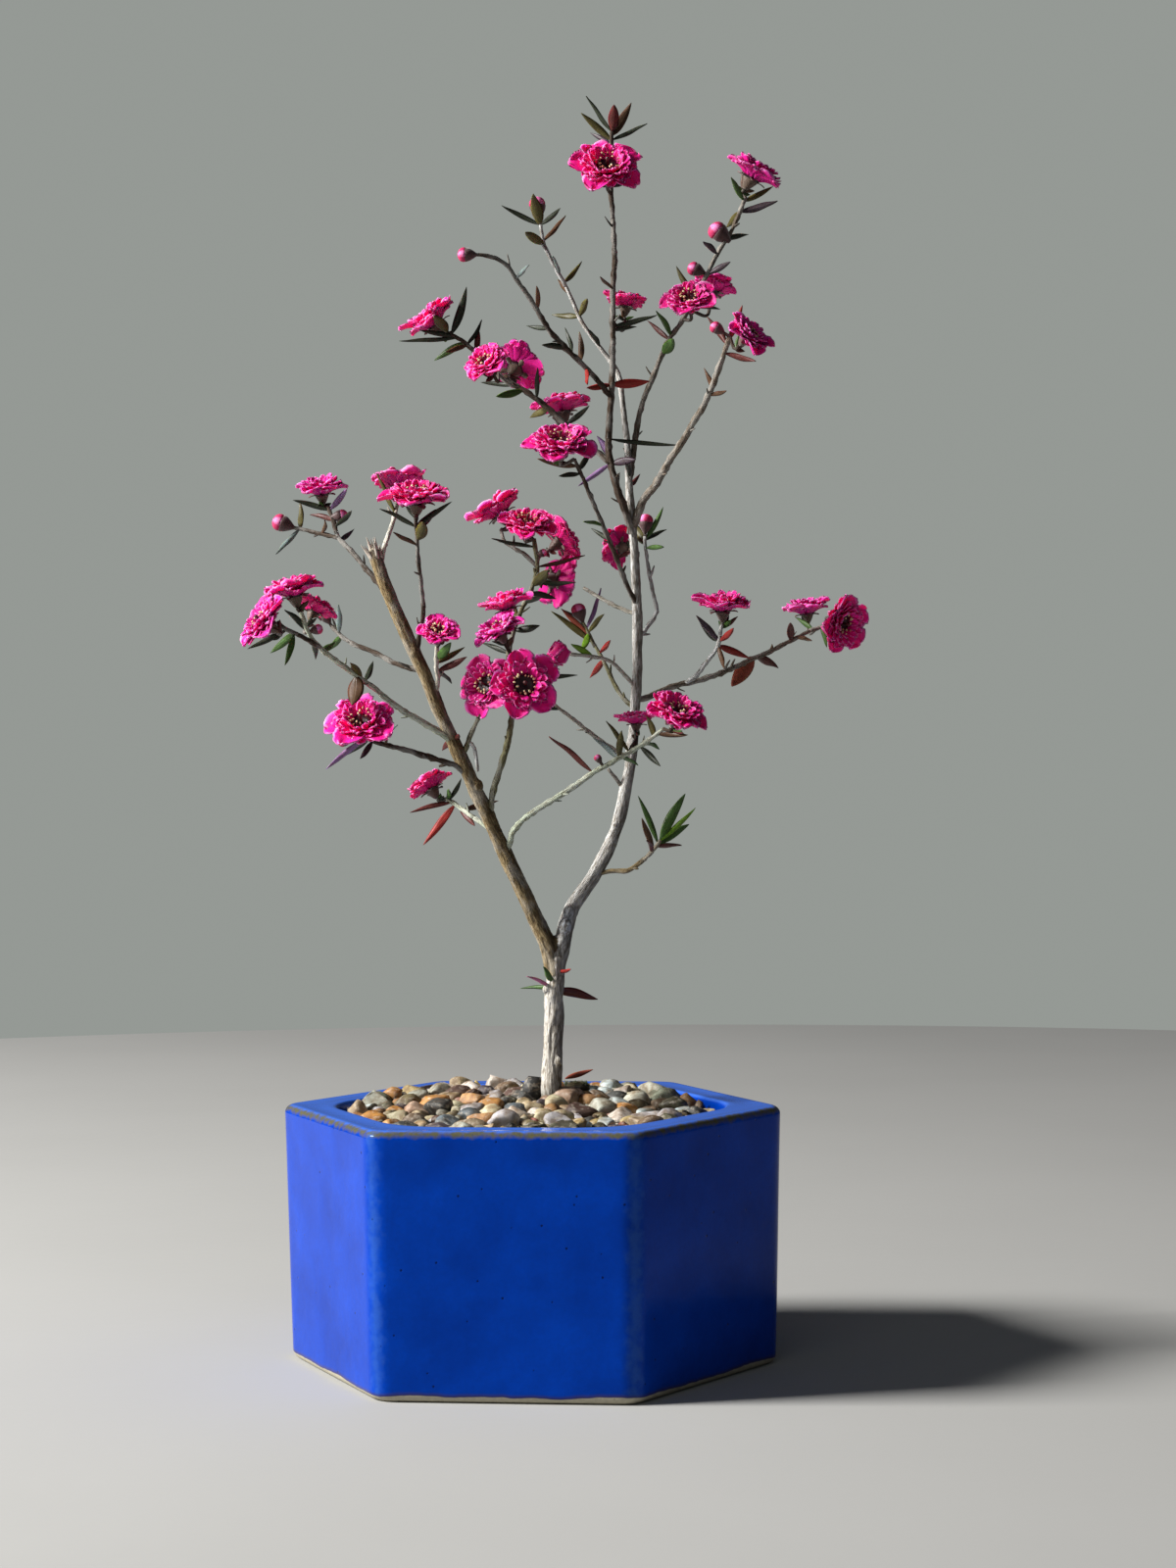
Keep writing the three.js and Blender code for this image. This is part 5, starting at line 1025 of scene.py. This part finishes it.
def middle_line(points):
    """A smooth curve through the points, as points about a step apart."""
    points = [np.asarray(point, float) for point in points]
    ends = [2 * points[0] - points[1], *points, 2 * points[-1] - points[-2]]
    share = np.linspace(0, 1, 24, endpoint=False)[:, None]
    dense = []
    for a, b, c, d in zip(ends, ends[1:], ends[2:], ends[3:]):
        t0, t1, t2 = (math.sqrt(np.linalg.norm(q - p)) for p, q in ((a, b), (b, c), (c, d)))
        leave = ((b - a) / t0 - (c - a) / (t0 + t1) + (c - b) / t1) * t1
        arrive = ((c - b) / t1 - (d - b) / (t1 + t2) + (d - c) / t2) * t1
        cube, square = share ** 3, share ** 2
        dense.append(b * (2 * cube - 3 * square + 1) + leave * (cube - 2 * square + share)
                     + c * (3 * square - 2 * cube) + arrive * (cube - square))
    dense = np.vstack([*dense, points[-1][None]])
    way = way_along(dense)
    even = np.linspace(0, way[-1], max(2, round(way[-1] / LINE_STEP)) + 1)
    return np.stack([np.interp(even, way, dense[:, axis]) for axis in range(3)], -1)


def radii_at(radii, shares):
    """Radii at shares of a line's length."""
    return np.interp(shares, np.linspace(0, 1, len(radii)), radii)


def nearest(branch, across, height):
    """Share and place where a thing seen at [across, height] leaves a branch."""
    line = branch["line"]
    seen = along_sight(across, line[:, 1:2], height)
    index = int(np.argmin(np.linalg.norm(line - seen, axis=1)))
    return index / (len(line) - 1), line[index]


BRANCHES = {}
STEM_BASE = along_sight(4.85, 3, 63.5)
SCAR_PLACE = along_sight(9, 1.5, 106)
for text in BRANCH_TABLE.split("\n\n"):
    ((name, parent, bark, young),), (radii,), route, leaves, buds = map(table, text.split(";"))
    line = middle_line([along_sight(*point) for point in route])
    if parent:
        across, _, height = route[0]
        shift = nearest(BRANCHES[parent], across, height)[1] - line[0]
        line = line + shift * np.clip(1 - np.arange(len(line)) / 8, 0, 1)[:, None]
    branch = {"name": name, "tone": BARK_TONES[bark], "radii": radii, "line": line, "leaves": leaves,
              "buds": buds, "young_from": 2.0}
    if young:
        across, _, height = route[int(young)]
        branch["young_from"] = nearest(branch, across, height)[0]
    BRANCHES[name] = branch


def carrier(branch, share):
    """The piece that a thing on a branch belongs to."""
    return f"spray_{branch['name']}" if share > branch["young_from"] else "old_wood"


class Pieces(dict):
    """Pieces by name, each made when it is first asked for."""

    def __missing__(self, name):
        self[name] = Piece(name)
        return self[name]


sprays = Pieces()


# Twigs, leaves and buds

def twig(branch, start, stop, draw):
    """A stretch of branch with leaf scars, faint ridges and a wandering surface."""
    line = branch["line"]
    total = len(line) - 1
    first, last = round(start * total), round(min(stop, 1) * total)
    stretch = line[first:last + 1]
    if len(stretch) < 3:
        return None
    shares = np.arange(first, last + 1) / total
    radii = radii_at(branch["radii"], shares)
    sides = 10 if radii.max() > 0.9 else 8
    rings = np.repeat(radii[:, None], sides, 1)
    rings *= 1 + 0.12 * draw.standard_normal(rings.shape) * np.clip(0.7 / radii[:, None], 0.3, 1)
    at = draw.uniform(2, 4)
    turn = turns(sides)
    while at < len(stretch) - 2:
        swell = np.exp(-((np.arange(len(stretch)) - at) / 0.8) ** 2)[:, None]
        facing = 0.5 + 0.5 * np.cos(turn - draw.uniform(0, TAU))
        rings += swell * facing * draw.uniform(0.12, 0.4) * np.clip(radii.mean(), 0.4, 1)
        at += draw.uniform(2.6, 5)
    return tube(stretch, rings, sides, draw.uniform(0, 90))


def spur(line, radii, draw):
    """A short broken side twig."""
    index = int(draw.integers(2, max(3, len(line) - 2)))
    ahead, side, across = headings(line)
    turn = draw.uniform(0, TAU)
    out = between(side[index], across[index], turn)
    aim = unit(out + ahead[index] * draw.uniform(0.3, 1))
    length = radii[index] + draw.uniform(0.6, 2.4)
    share = np.linspace(0, 1, 4)[:, None]
    points = line[index] + aim * length * share + ahead[index] * 0.3 * length * share ** 2
    return tube(points, np.array([0.34, 0.3, 0.24, 0.14]) * draw.uniform(0.8, 1.3), 5, draw.uniform(0, 90))


def leaf(base, tip, width, draw, kink=0.0):
    """A pointed blade, folded along its midrib, broad side to the front."""
    length = tip - base
    size = np.linalg.norm(length)
    side = unit(np.cross(length, (0.25, 1, 0.2)))
    face = np.cross(side, length) / size
    rows, columns = 12, 7
    along = np.concatenate([[0], 1 - (1 - np.linspace(0.04, 1, rows - 1)) ** 1.15])
    along[-1] = 0.99
    half = 0.6 * width * np.sin(math.pi * along ** 0.86) ** 0.75 * (1 - 0.15 * along)
    half = np.maximum(half, 0.12 * (1 - along) + 0.02)
    free = 0.15 if width > WIDE_LEAF else 0.35
    roll = draw.uniform(-free, free) + draw.uniform(-free, free) * along
    sides = np.cos(roll)[:, None] * side + np.sin(roll)[:, None] * face
    faces = np.cos(roll)[:, None] * face - np.sin(roll)[:, None] * side
    arch = draw.uniform(0.1, 0.28) * size * along * (1 - along)
    sway = draw.uniform(-0.12, 0.12) * size * along * (1 - along)
    sideways = (sway + kink * along ** 3)[:, None]
    middle = base + length * along[:, None] + face * arch[:, None] + side * sideways
    across = np.abs(np.linspace(-1, 1, columns))
    fold = draw.uniform(0.1, 0.35)
    wave = 0.06 * size * np.sin(along * draw.uniform(6, 12) + draw.uniform(0, 6))[:, None]
    lift = fold * half[:, None] * across + wave * (across ** 2) * 0.3
    return blade(middle, sides, faces, half, lift, 0.3, draw.uniform(0, 0.9))


def add_leaf(branch, row, index, draw):
    """A listed leaf. Short ones lean forward or back by turns."""
    base_across, base_height, tip_across, tip_height, width, tone = row
    share, place = nearest(branch, base_across, base_height)
    seen = math.hypot(tip_across - base_across, tip_height - base_height)
    lean = 0.8 * math.sqrt(max(0, LEAF_LENGTH ** 2 - seen ** 2)) * (1 if index % 2 else -1)
    tip = along_sight(tip_across, place[1] + lean, tip_height)
    colour = np.array(LEAF_TONES[tone]) * draw.uniform(0.85, 1.2)
    sprays[carrier(branch, share)].add(leaf(place, tip, width * 1.15, draw), 1, colour)


def petal_axes(turn):
    """Along, side and up directions of a petal at a turn about the bloom's axis."""
    along = np.array([math.cos(turn), math.sin(turn), 0])
    return along, np.array([math.sin(turn), -math.cos(turn), 0]), np.array([0, 0, 1.0])


def petal(turn, start, length, angles, width, cup, ruffle, draw, rows=12, columns=9,
          shift=(0, 0, 0), tip=1.0):
    """A petal whose middle line turns from the first angle above level to the second."""
    along, side, up = petal_axes(turn)
    share = np.concatenate([[0], 1 - (1 - np.linspace(0.06, 1, rows - 1)) ** 1.5])
    share[-1] = 0.992
    angle = angles[0] + (angles[1] - angles[0]) * share
    step = np.diff(share, prepend=0)
    out = start + length * np.cumsum(np.cos(angle) * step)
    rise = length * np.cumsum(np.sin(angle) * step)
    sway = length * 0.05 * np.sin(share * draw.uniform(2, 5) + draw.uniform(0, TAU)) * share
    middle = along * out[:, None] + up * rise[:, None] + side * sway[:, None] + np.array(shift)
    ahead = along * np.cos(angle)[:, None] + up * np.sin(angle)[:, None]
    sides = np.repeat(side[None], rows, 0)
    faces = np.cross(sides, ahead)
    widest = 0.62
    claw = 0.28 + 0.72 * np.sin(TAU / 4 * np.clip(share / widest, 0, 1)) ** 1.3
    end = np.sqrt(np.clip(1 - (np.clip(share - widest, 0, 1) / (1 - widest)) ** (2 * tip), 0, 1))
    half = np.maximum(width * claw * end, 0.03 * width) * (1 + 0.05 * draw.standard_normal(rows))
    across = np.linspace(-1, 1, columns)
    beat = draw.uniform(4, 7)
    phase = draw.uniform(0, TAU)
    lift = cup * half[:, None] * across ** 2 * (0.4 + 0.6 * share[:, None])
    frill = ruffle * np.sin(across * beat * (0.5 + share[:, None]) + phase + 3 * share[:, None])
    lift = lift + frill * (0.25 + 0.75 * np.maximum(np.abs(across), share[:, None] ** 2)) * share[:, None]
    scallop = np.cos(across * draw.uniform(7, 11) + draw.uniform(0, TAU))
    notch = np.exp(-(across - draw.uniform(-0.25, 0.25)) ** 2 / 0.03) * draw.uniform(0, 1)
    pull = length * (0.035 * scallop - 0.11 * notch) * (share ** 5)[:, None] * (ruffle > 0)
    return blade(middle, sides, faces, half, lift, 0.22, draw.uniform(0, 0.9), pull)


def bud(place, axis, radius, draw):
    """A closed bud: a cup with five short sepals and a cap of folded petals."""
    axes = bloom_axes(axis)
    cup = [[0.2, -1.5], [0.3, -1.3], [0.55, -0.95], [0.85, -0.45], [1.0, 0.05], [0.94, 0.2], [0.5, 0.2]]
    cap = [[0.6, -0.1], [0.96, 0.15], [1.0, 0.4], [0.9, 0.75], [0.66, 1.02], [0.34, 1.18], [0.08, 1.22]]
    out = [(lathe(np.array(cup) * radius, 15, 0.05), 2, BUD_CUP),
           (lathe(np.array(cap) * radius, 15, 0.045, 0.3), 3, BUD_CAP)]
    for k in range(5):
        sepal = petal((k + 0.5) * TAU / 5, 0.82 * radius, 0.75 * radius, (1.5, 1.95), 0.34 * radius,
                      0.4, 0.0, draw, rows=6, columns=5)
        out.append((moved(sepal, np.eye(3), (0, 0, -0.05 * radius)), 2, BUD_SEPAL))
    return [(moved(shape, axes, place), kind, tone) for shape, kind, tone in out]


def bloom_axes(direction):
    """Rows: two level axes and the bloom's own direction."""
    direction = unit(np.asarray(direction, float))
    first = unit(np.cross((0, 0.1, 1), direction))
    return np.stack([first, np.cross(direction, first), direction])


def add_bud(branch, across, height, radius, draw):
    """A listed bud on its stalk."""
    share, place = nearest(branch, across, height)
    middle = along_sight(across, place[1], height)
    piece = sprays[carrier(branch, share)]
    axis = unit(middle - place)
    stalk = np.linspace(place, middle - axis * radius * 0.9, 4)
    piece.add(tube(stalk, [0.45, 0.4, 0.38, 0.42], 7), 0, BARK_TONES["brown"])
    for shape in bud(middle, axis, radius, draw):
        piece.add(*shape)


# Blooms

def stamen(turn, start, lean, length, draw):
    """A thin filament with a two-part anther at its end."""
    along, _, up = petal_axes(turn)
    share = np.linspace(0, 1, 4)[:, None]
    aim = along * math.sin(lean) + up * math.cos(lean)
    line = along * start + aim * length * share - along * 0.25 * length * share ** 2
    thread = tube(line, [0.09, 0.07, 0.06, 0.06], 4)
    points, faces = SMALL_BALL
    size = draw.uniform(0.2, 0.29)
    tip = points * np.array([size * 1.4, size, size * 0.8])
    tip = tip @ turned(turn, draw.uniform(-1, 1), 0).T + line[-1]
    return thread, (tip, [faces], tip.copy())


def build_bloom(number, branch_name, foot, middle, facing, radius, openness):
    """One bloom with its stalk, and the small leaves under it."""
    draw = np.random.default_rng(100 + number)
    branch = BRANCHES[branch_name]
    direction = unit(np.array(facing, float))
    origin = along_sight(*middle) - direction * 0.3 * radius
    axes = bloom_axes(direction)
    size = radius / MODEL_BLOOM_RADIUS
    calyx = CALYX_LENGTH * size
    share, base = nearest(branch, *foot) if foot[0] is not None else (1.0, branch["line"][-1])
    stalk_end = origin - direction * (calyx + CLEARANCE)
    bend = stalk_end - direction * 0.35 * np.linalg.norm(stalk_end - base)
    line = middle_line([base, bend, stalk_end])
    carried = sprays[carrier(branch, share)]
    radii = np.interp(np.linspace(0, 1, len(line)), [0, 0.15, 0.85, 1],
                      [0.5, STALK_RADIUS, STALK_RADIUS, 0.55])
    carried.add(tube(line, radii, 8, number), 0, BARK_TONES["brown"])
    bloom = Piece(f"flower_{number:02d}")
    hue = draw.uniform(0.85, 1.15)
    outer_tone = np.array([0.86 * hue, 0.010, 0.27 * draw.uniform(0.8, 1.2)]).clip(0, 0.95)
    reach = (0.6 + 0.4 * openness) * radius

    def set_part(shape, kind, tone):
        bloom.add(moved(shape, axes, origin), kind, tone)

    # outer petals
    first = 0.9 - 0.25 * openness
    last = 2.0 - 2.2 * openness
    for k in range(5):
        turn = (k + 0.5) * TAU / 5 + draw.uniform(-0.12, 0.12)
        angles = (first + draw.uniform(-0.1, 0.1), last + draw.uniform(-0.35, 0.3))
        mean = np.mean([math.cos(angles[0] + (angles[1] - angles[0]) * t) for t in np.linspace(0, 1, 9)])
        length = min((reach - 0.04 * radius) / max(mean, 0.4), 1.2 * radius) * draw.uniform(0.97, 1.1)
        shape = petal(turn, 0.08 * radius, length, angles, 0.44 * length * draw.uniform(0.9, 1.08),
                      draw.uniform(0.2, 0.55) + 0.3 * (1 - openness), 0.05 * radius, draw, 14, 11,
                      (0, 0, -0.13 * radius + 0.03 * (k % 2) * radius))
        set_part(shape, 0, outer_tone * draw.uniform(0.85, 1.1))
    # the ruff: small ruffled petals in groups before each outer petal
    full = min(max((openness - 0.85) / 0.15, 0), 1)
    for start, long, rise, count, wide, wide_turn in RUFF:
        for k in range(5):
            for m in range(int(count)):
                turn = (k + 0.5) * TAU / 5 + (m - (count - 1) / 2) * wide_turn + draw.uniform(-0.11, 0.11)
                lean = rise + (1 - openness) * 0.6 - 0.14 * full + draw.uniform(-0.12, 0.12)
                shape = petal(turn, start * reach, (1 - 0.16 * full) * long * reach * draw.uniform(0.85, 1.1),
                              (lean + 0.2, lean - 0.45 + draw.uniform(-0.2, 0.2)), wide * radius,
                              draw.uniform(0.2, 0.7), 0.035 * radius, draw, 7, 7, (0, 0, -0.02 * radius))
                set_part(shape, 0, outer_tone * draw.uniform(0.88, 1.12))
    # centre
    disc = [[0.30, -0.1], [0.33, 0.06], [0.31, 0.14], [0.24, 0.17], [0.15, 0.14], [0.05, 0.12]]
    set_part(lathe(np.array(disc) * radius * (0.7 + 0.3 * openness), 20, 0.04), 1, HEART_TONE)
    pistil = [[0.05, 0.1], [0.035, 0.3], [0.06, 0.42], [0.03, 0.46]]
    set_part(lathe(np.array(pistil) * radius, 8), 1, PISTIL_TONE)
    for k in range(STAMENS):
        turn = k * TAU / STAMENS + draw.uniform(-0.15, 0.15)
        thread, anther = stamen(turn, 0.31 * radius * (0.7 + 0.3 * openness),
                                draw.uniform(-0.2, 0.6) * openness, draw.uniform(0.15, 0.3) * radius, draw)
        set_part(moved(thread, np.eye(3), (0, 0, 0.1 * radius)), 2, THREAD_TONE)
        set_part(moved(anther, np.eye(3), (0, 0, 0.1 * radius)), 2, ANTHER_GOLD if k % 4 else ANTHER_DRY)
    # calyx
    bell = [[0.6, -3.4], [0.85, -3.1], [1.15, -2.6], [1.5, -1.9], [1.85, -1.1], [1.98, -0.5], [1.85, -0.1],
            [1.3, 0.1], [0.4, 0.15]]
    lit = draw.uniform(0, 1)
    brown = CALYX_BROWN * (1 - lit) + CALYX_OLIVE * lit
    set_part(lathe(np.array(bell) * size, 20, 0.04), 3, brown)
    for k in range(5):
        angles = (0.9 - 0.6 * openness, 0.2 - 0.7 * openness)
        sepal = petal(k * TAU / 5, 1.7 * size, 2.4 * size, angles, 0.85 * size, 0.3, 0.0, draw, 7, 5,
                      (0, 0, -0.75 * size), 0.7)
        set_part(sepal, 3, brown * 1.1)
    bloom.build([PETAL, HEART, STAMEN, CALYX], "petals", f"bloom_{number:02d}")
    # small leaves under the bloom
    for k in range(4):
        turn = draw.uniform(0, TAU)
        root = stalk_end - direction * draw.uniform(0.2, 1.4)
        out = between(axes[0], axes[1], turn)
        reach = out * draw.uniform(0.5, 1) + direction * draw.uniform(0.1, 0.9)
        tip = root + reach * draw.uniform(2.8, 4.6) * size
        tone = LEAF_TONES[("dark", "maroon", "green", "brown")[int(draw.integers(4))]]
        carried.add(leaf(root, tip, draw.uniform(0.8, 1.2), draw), 1, tone)


# Limbs

def remeshed(name, piece, voxel):
    """One smooth closed skin over all the surfaces of a piece."""
    blank = placed(name, mesh_of(name, np.vstack(piece.points), piece.faces))
    skin = blank.modifiers.new("skin", "REMESH")
    skin.mode = "VOXEL"
    skin.voxel_size = voxel * MM
    soften = blank.modifiers.new("soften", "SMOOTH")
    soften.factor = 0.5
    soften.iterations = 3
    return finished(blank)


def knob(place, size):
    points, faces = BALL
    return points * np.asarray(size) + place, [faces], points


def build_limbs():
    """Trunk and limbs as one skin with bark relief, and splinters at the torn end."""
    draw = np.random.default_rng(3)
    blank = Piece("limb_blank")
    samples, tones, frames = [], [], []
    for name in LIMB_NAMES:
        branch = BRANCHES[name]
        line = branch["line"]
        total = len(line) - 1
        last = round(min(branch["young_from"], 1) * total)
        line = line[:last + 1]
        shares = np.arange(last + 1) / total
        radii = radii_at(branch["radii"], shares)
        wander = np.array([[noise.noise(Vector((k * 0.16, math.cos(a) * 0.7, math.sin(a) * 0.7 + 9)))
                            for a in turns(LIMB_SIDES)] for k in range(len(line))])
        blank.add(tube(line, radii[:, None] * (1 + 0.16 * wander), LIMB_SIDES))
        ahead, side, across = headings(line)
        for k, point in enumerate(line):
            samples.append(point)
            frames.append((ahead[k], side[k], across[k], k, radii[k]))
            tones.append(branch["tone"])
    for *seen, size in KNOBS:
        blank.add(knob(along_sight(*seen), (size, size, size * 1.25)))
    mesh = remeshed("limbs", blank, LIMB_VOXEL)
    tree = KDTree(len(samples))
    for index, point in enumerate(samples):
        tree.insert(point, index)
    tree.balance()
    places = places_of(mesh)
    grains, colours = np.empty(places.shape), np.empty(places.shape)
    for index, place in enumerate(places):
        _, found, _ = tree.find(place)
        ahead, side, across, way, radius = frames[found]
        off = place - samples[found]
        grain = Vector((off @ side, way + off @ ahead, off @ across))
        out = unit(off - ahead * (off @ ahead))
        long = Vector((grain.x * 1.1, grain.y * 0.13, grain.z * 1.1))
        ridge = 1 - abs(noise.noise(long * 1.3)) * 2
        fine = noise.noise(Vector((grain.x * 3.2, grain.y * 0.5, grain.z * 3.2)))
        lump = noise.noise(Vector((grain.x * 0.5, grain.y * 0.22, grain.z * 0.5 + 40)))
        depth = min(radius / 2.2, 1)
        places[index] = place + out * depth * (0.20 * ridge + 0.10 * fine + 0.22 * lump - 0.16)
        grains[index] = grain
        # painted light: the out[0] term makes the bark paler on the left side and darker on the right, as the
        # key light falls; lump and fine give the bark's own patchy tone
        pale = np.clip(0.62 - 0.55 * out[0] + 0.35 * lump + 0.5 * fine, 0, 1)
        colours[index] = np.array(tones[found]) * ((0.34, 0.31, 0.27) + 0.9 * pale)
        scar = max(1 - np.linalg.norm((place - SCAR_PLACE) * (1, 1, 0.6)) / 2.6, 0) ** 0.5
        colours[index] += (SCAR_TONE * (0.5 + 0.8 * ridge) - colours[index]) * scar
    mesh.vertices.foreach_set("co", (places * MM).ravel())
    mesh.materials.clear()
    dressed("limbs", mesh, colours.clip(0, 0.9), grains, [LIMB_BARK], "wood")
    # splinters round the torn end of the left limb
    torn = Piece("torn_end")
    line = BRANCHES["left_limb"]["line"]
    end = line[-1]
    ahead, side, across = (vector[-1] for vector in headings(line))
    for k in range(SPLINTERS):
        turn = k * TAU / SPLINTERS + draw.uniform(-0.15, 0.15)
        out = between(side, across, turn)
        root = end + out * draw.uniform(0.5, 1.35) - ahead * 2.2
        length = draw.uniform(2.4, 4.4) if draw.uniform() < 0.6 else draw.uniform(4, 6)
        aim = unit(ahead + out * draw.uniform(-0.15, 0.35))
        share = np.linspace(0, 1, 6)[:, None]
        line = root + aim * length * share + out * 0.3 * share ** 2
        radii = np.array([0.6, 0.5, 0.42, 0.32, 0.2, 0.06]) * draw.uniform(0.7, 1.1)
        torn.add(tube(line, radii, 5, k * 7), 0)
    torn.build([TORN_WOOD], "bark", "wood")


def build_branches():
    """All the twigs with their leaves and buds, then the blooms."""
    draw = np.random.default_rng(21)
    for branch in BRANCHES.values():
        tone, line = np.array(branch["tone"]), branch["line"]
        stretches = []
        if branch["name"] not in LIMB_NAMES:
            stretches.append((0, min(branch["young_from"], 1), "old_wood"))
        if branch["young_from"] < 1:
            stretches.append((branch["young_from"], 1, f"spray_{branch['name']}"))
        for start, stop, name in stretches:
            shape = twig(branch, start, stop, draw)
            if shape:
                sprays[name].add(shape, 0, tone * draw.uniform(0.85, 1.15))
                total = len(line) - 1
                piece_line = line[round(start * total):round(stop * total) + 1]
                radii = radii_at(branch["radii"], np.linspace(start, stop, len(piece_line)))
                for _ in range(int((stop - start) * len(line) / SPUR_SPACING)):
                    sprays[name].add(spur(piece_line, radii, draw), 0, tone * draw.uniform(0.5, 1.1))
        for index, row in enumerate(branch["leaves"]):
            add_leaf(branch, row, index, draw)
        for across, height, radius in branch["buds"]:
            add_bud(branch, across, height, radius, draw)
    for index, (name, *row) in enumerate(MORE_LEAVES):
        add_leaf(BRANCHES[name], row, index, draw)
    for number, name, *row in BLOOMS:
        build_bloom(int(number), name, row[:2], row[2:5], row[5:8], *row[8:])
    materials = [TWIG_BARK, LEAF, CALYX, PETAL]
    for name, piece in sorted(sprays.items()):
        if name == "old_wood":
            piece.build(materials, "bark", "wood")
        else:
            piece.build(materials, "foliage", name.replace("spray_", "shoot_"))


# What lies on the gravel

def build_litter():
    """The mossy scrap of bark and the dry leaf on it."""
    draw = np.random.default_rng(17)
    scrap = Piece("bark_bit")
    place = along_sight(11.2, 8, 65.1)
    share = np.linspace(-1, 1, 15)
    line = place + np.stack([2.9 * share, 0.5 * share, 0.3 * np.cos(share * 2)], -1)
    sides = 18
    turn = turns(sides)
    body = np.sqrt(np.clip(1 - share ** 4, 0.04, 1))[:, None]
    ribs = 1 + 0.14 * np.cos(turn * 6) + 0.06 * draw.standard_normal((len(share), sides))
    radii = 1.75 * body * ribs * (0.75 + 0.25 * np.abs(np.cos(turn)))
    scrap.add(tube(line, radii, sides), 0, linear(84, 72, 50))
    for _ in range(MOSS_TUFTS):
        spot = place + np.array([draw.uniform(-3, 3), draw.uniform(-1.2, 1.2), draw.uniform(0.4, 1.3)])
        aim = unit(np.array([draw.uniform(-0.7, 0.7), draw.uniform(-0.7, 0.5), 1]))
        tuft = np.linspace(spot, spot + aim * draw.uniform(0.5, 1.1), 3)
        scrap.add(tube(tuft, [0.12, 0.1, 0.03], 4), 1, linear(66, 84, 30))
    scrap.build([LIMB_BARK, MOSS], "scrap_bark", "bark_scrap")
    dry = Piece("curled_leaf")
    base, tip = along_sight(8.3, 8, 67.5), along_sight(15.2, 9.5, 69.3)
    dry.add(leaf(base, tip, 1.25, draw, 0.4), 0, LEAF_TONES["rust"])
    dry.build([LEAF], "dry_leaf", "fallen_leaf")


# The stage

def build_stage():
    """Camera, floor, lights and plain ground."""
    camera = placed("camera", bpy.data.cameras.new("camera"))
    camera.data.lens = CAMERA_LENS
    camera.data.sensor_width = SENSOR_WIDTH
    camera.data.clip_end = FARTHEST
    pitch, roll = math.radians(90 - CAMERA_PITCH), math.radians(-CAMERA_ROLL)
    lean = Matrix.Rotation(pitch, 4, "X") @ Matrix.Rotation(roll, 4, "Z")
    camera.matrix_world = Matrix.Translation(Vector(EYE * MM)) @ lean
    bpy.context.scene.camera = camera

    turn = turns(FLOOR_SIDES)
    rim = FLOOR_RADIUS * stacked(np.cos(turn), np.sin(turn), 0)
    floor = placed("floor", mesh_of("floor", rim, [list(range(FLOOR_SIDES))]))
    floor.data.materials.append(floor_material())

    def area(name, place, size, power, tint):
        light = placed(name, bpy.data.lights.new(name, "AREA"))
        light.data.size = size
        light.data.energy = power
        light.data.color = tint
        light.location = place
        light.rotation_euler = (LIGHT_TARGET - Vector(place)).to_track_quat("-Z", "Y").to_euler()

    area("key_light", (-1.25, -0.2, 0.9), 0.4, 57, (1, 0.98, 0.95))
    area("fill_light", (-0.5, -1.6, 1.2), 1.2, 2, (0.9, 0.95, 1))
    world = bpy.data.worlds.new("studio")
    bpy.context.scene.world = world
    world.use_nodes = True
    nodes, links = world.node_tree.nodes, world.node_tree.links
    shown, lighting = nodes["Background"], nodes.new("ShaderNodeBackground")
    shown.inputs[0].default_value = WALL
    lighting.inputs[0].default_value = SKY
    lighting.inputs[1].default_value = SKY_STRENGTH
    path, choice = nodes.new("ShaderNodeLightPath"), nodes.new("ShaderNodeMixShader")
    links.new(path.outputs["Is Camera Ray"], choice.inputs[0])
    links.new(lighting.outputs[0], choice.inputs[1])
    links.new(shown.outputs[0], choice.inputs[2])
    links.new(choice.outputs[0], nodes["World Output"].inputs[0])
    bpy.context.scene.view_settings.view_transform = "Standard"


build_stage()
build_pot()
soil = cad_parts["soil"]
soil.data.materials.clear()
soil.data.materials.append(SOIL)
build_gravel()
build_litter()
build_limbs()
build_branches()

bpy.context.view_layer.update()
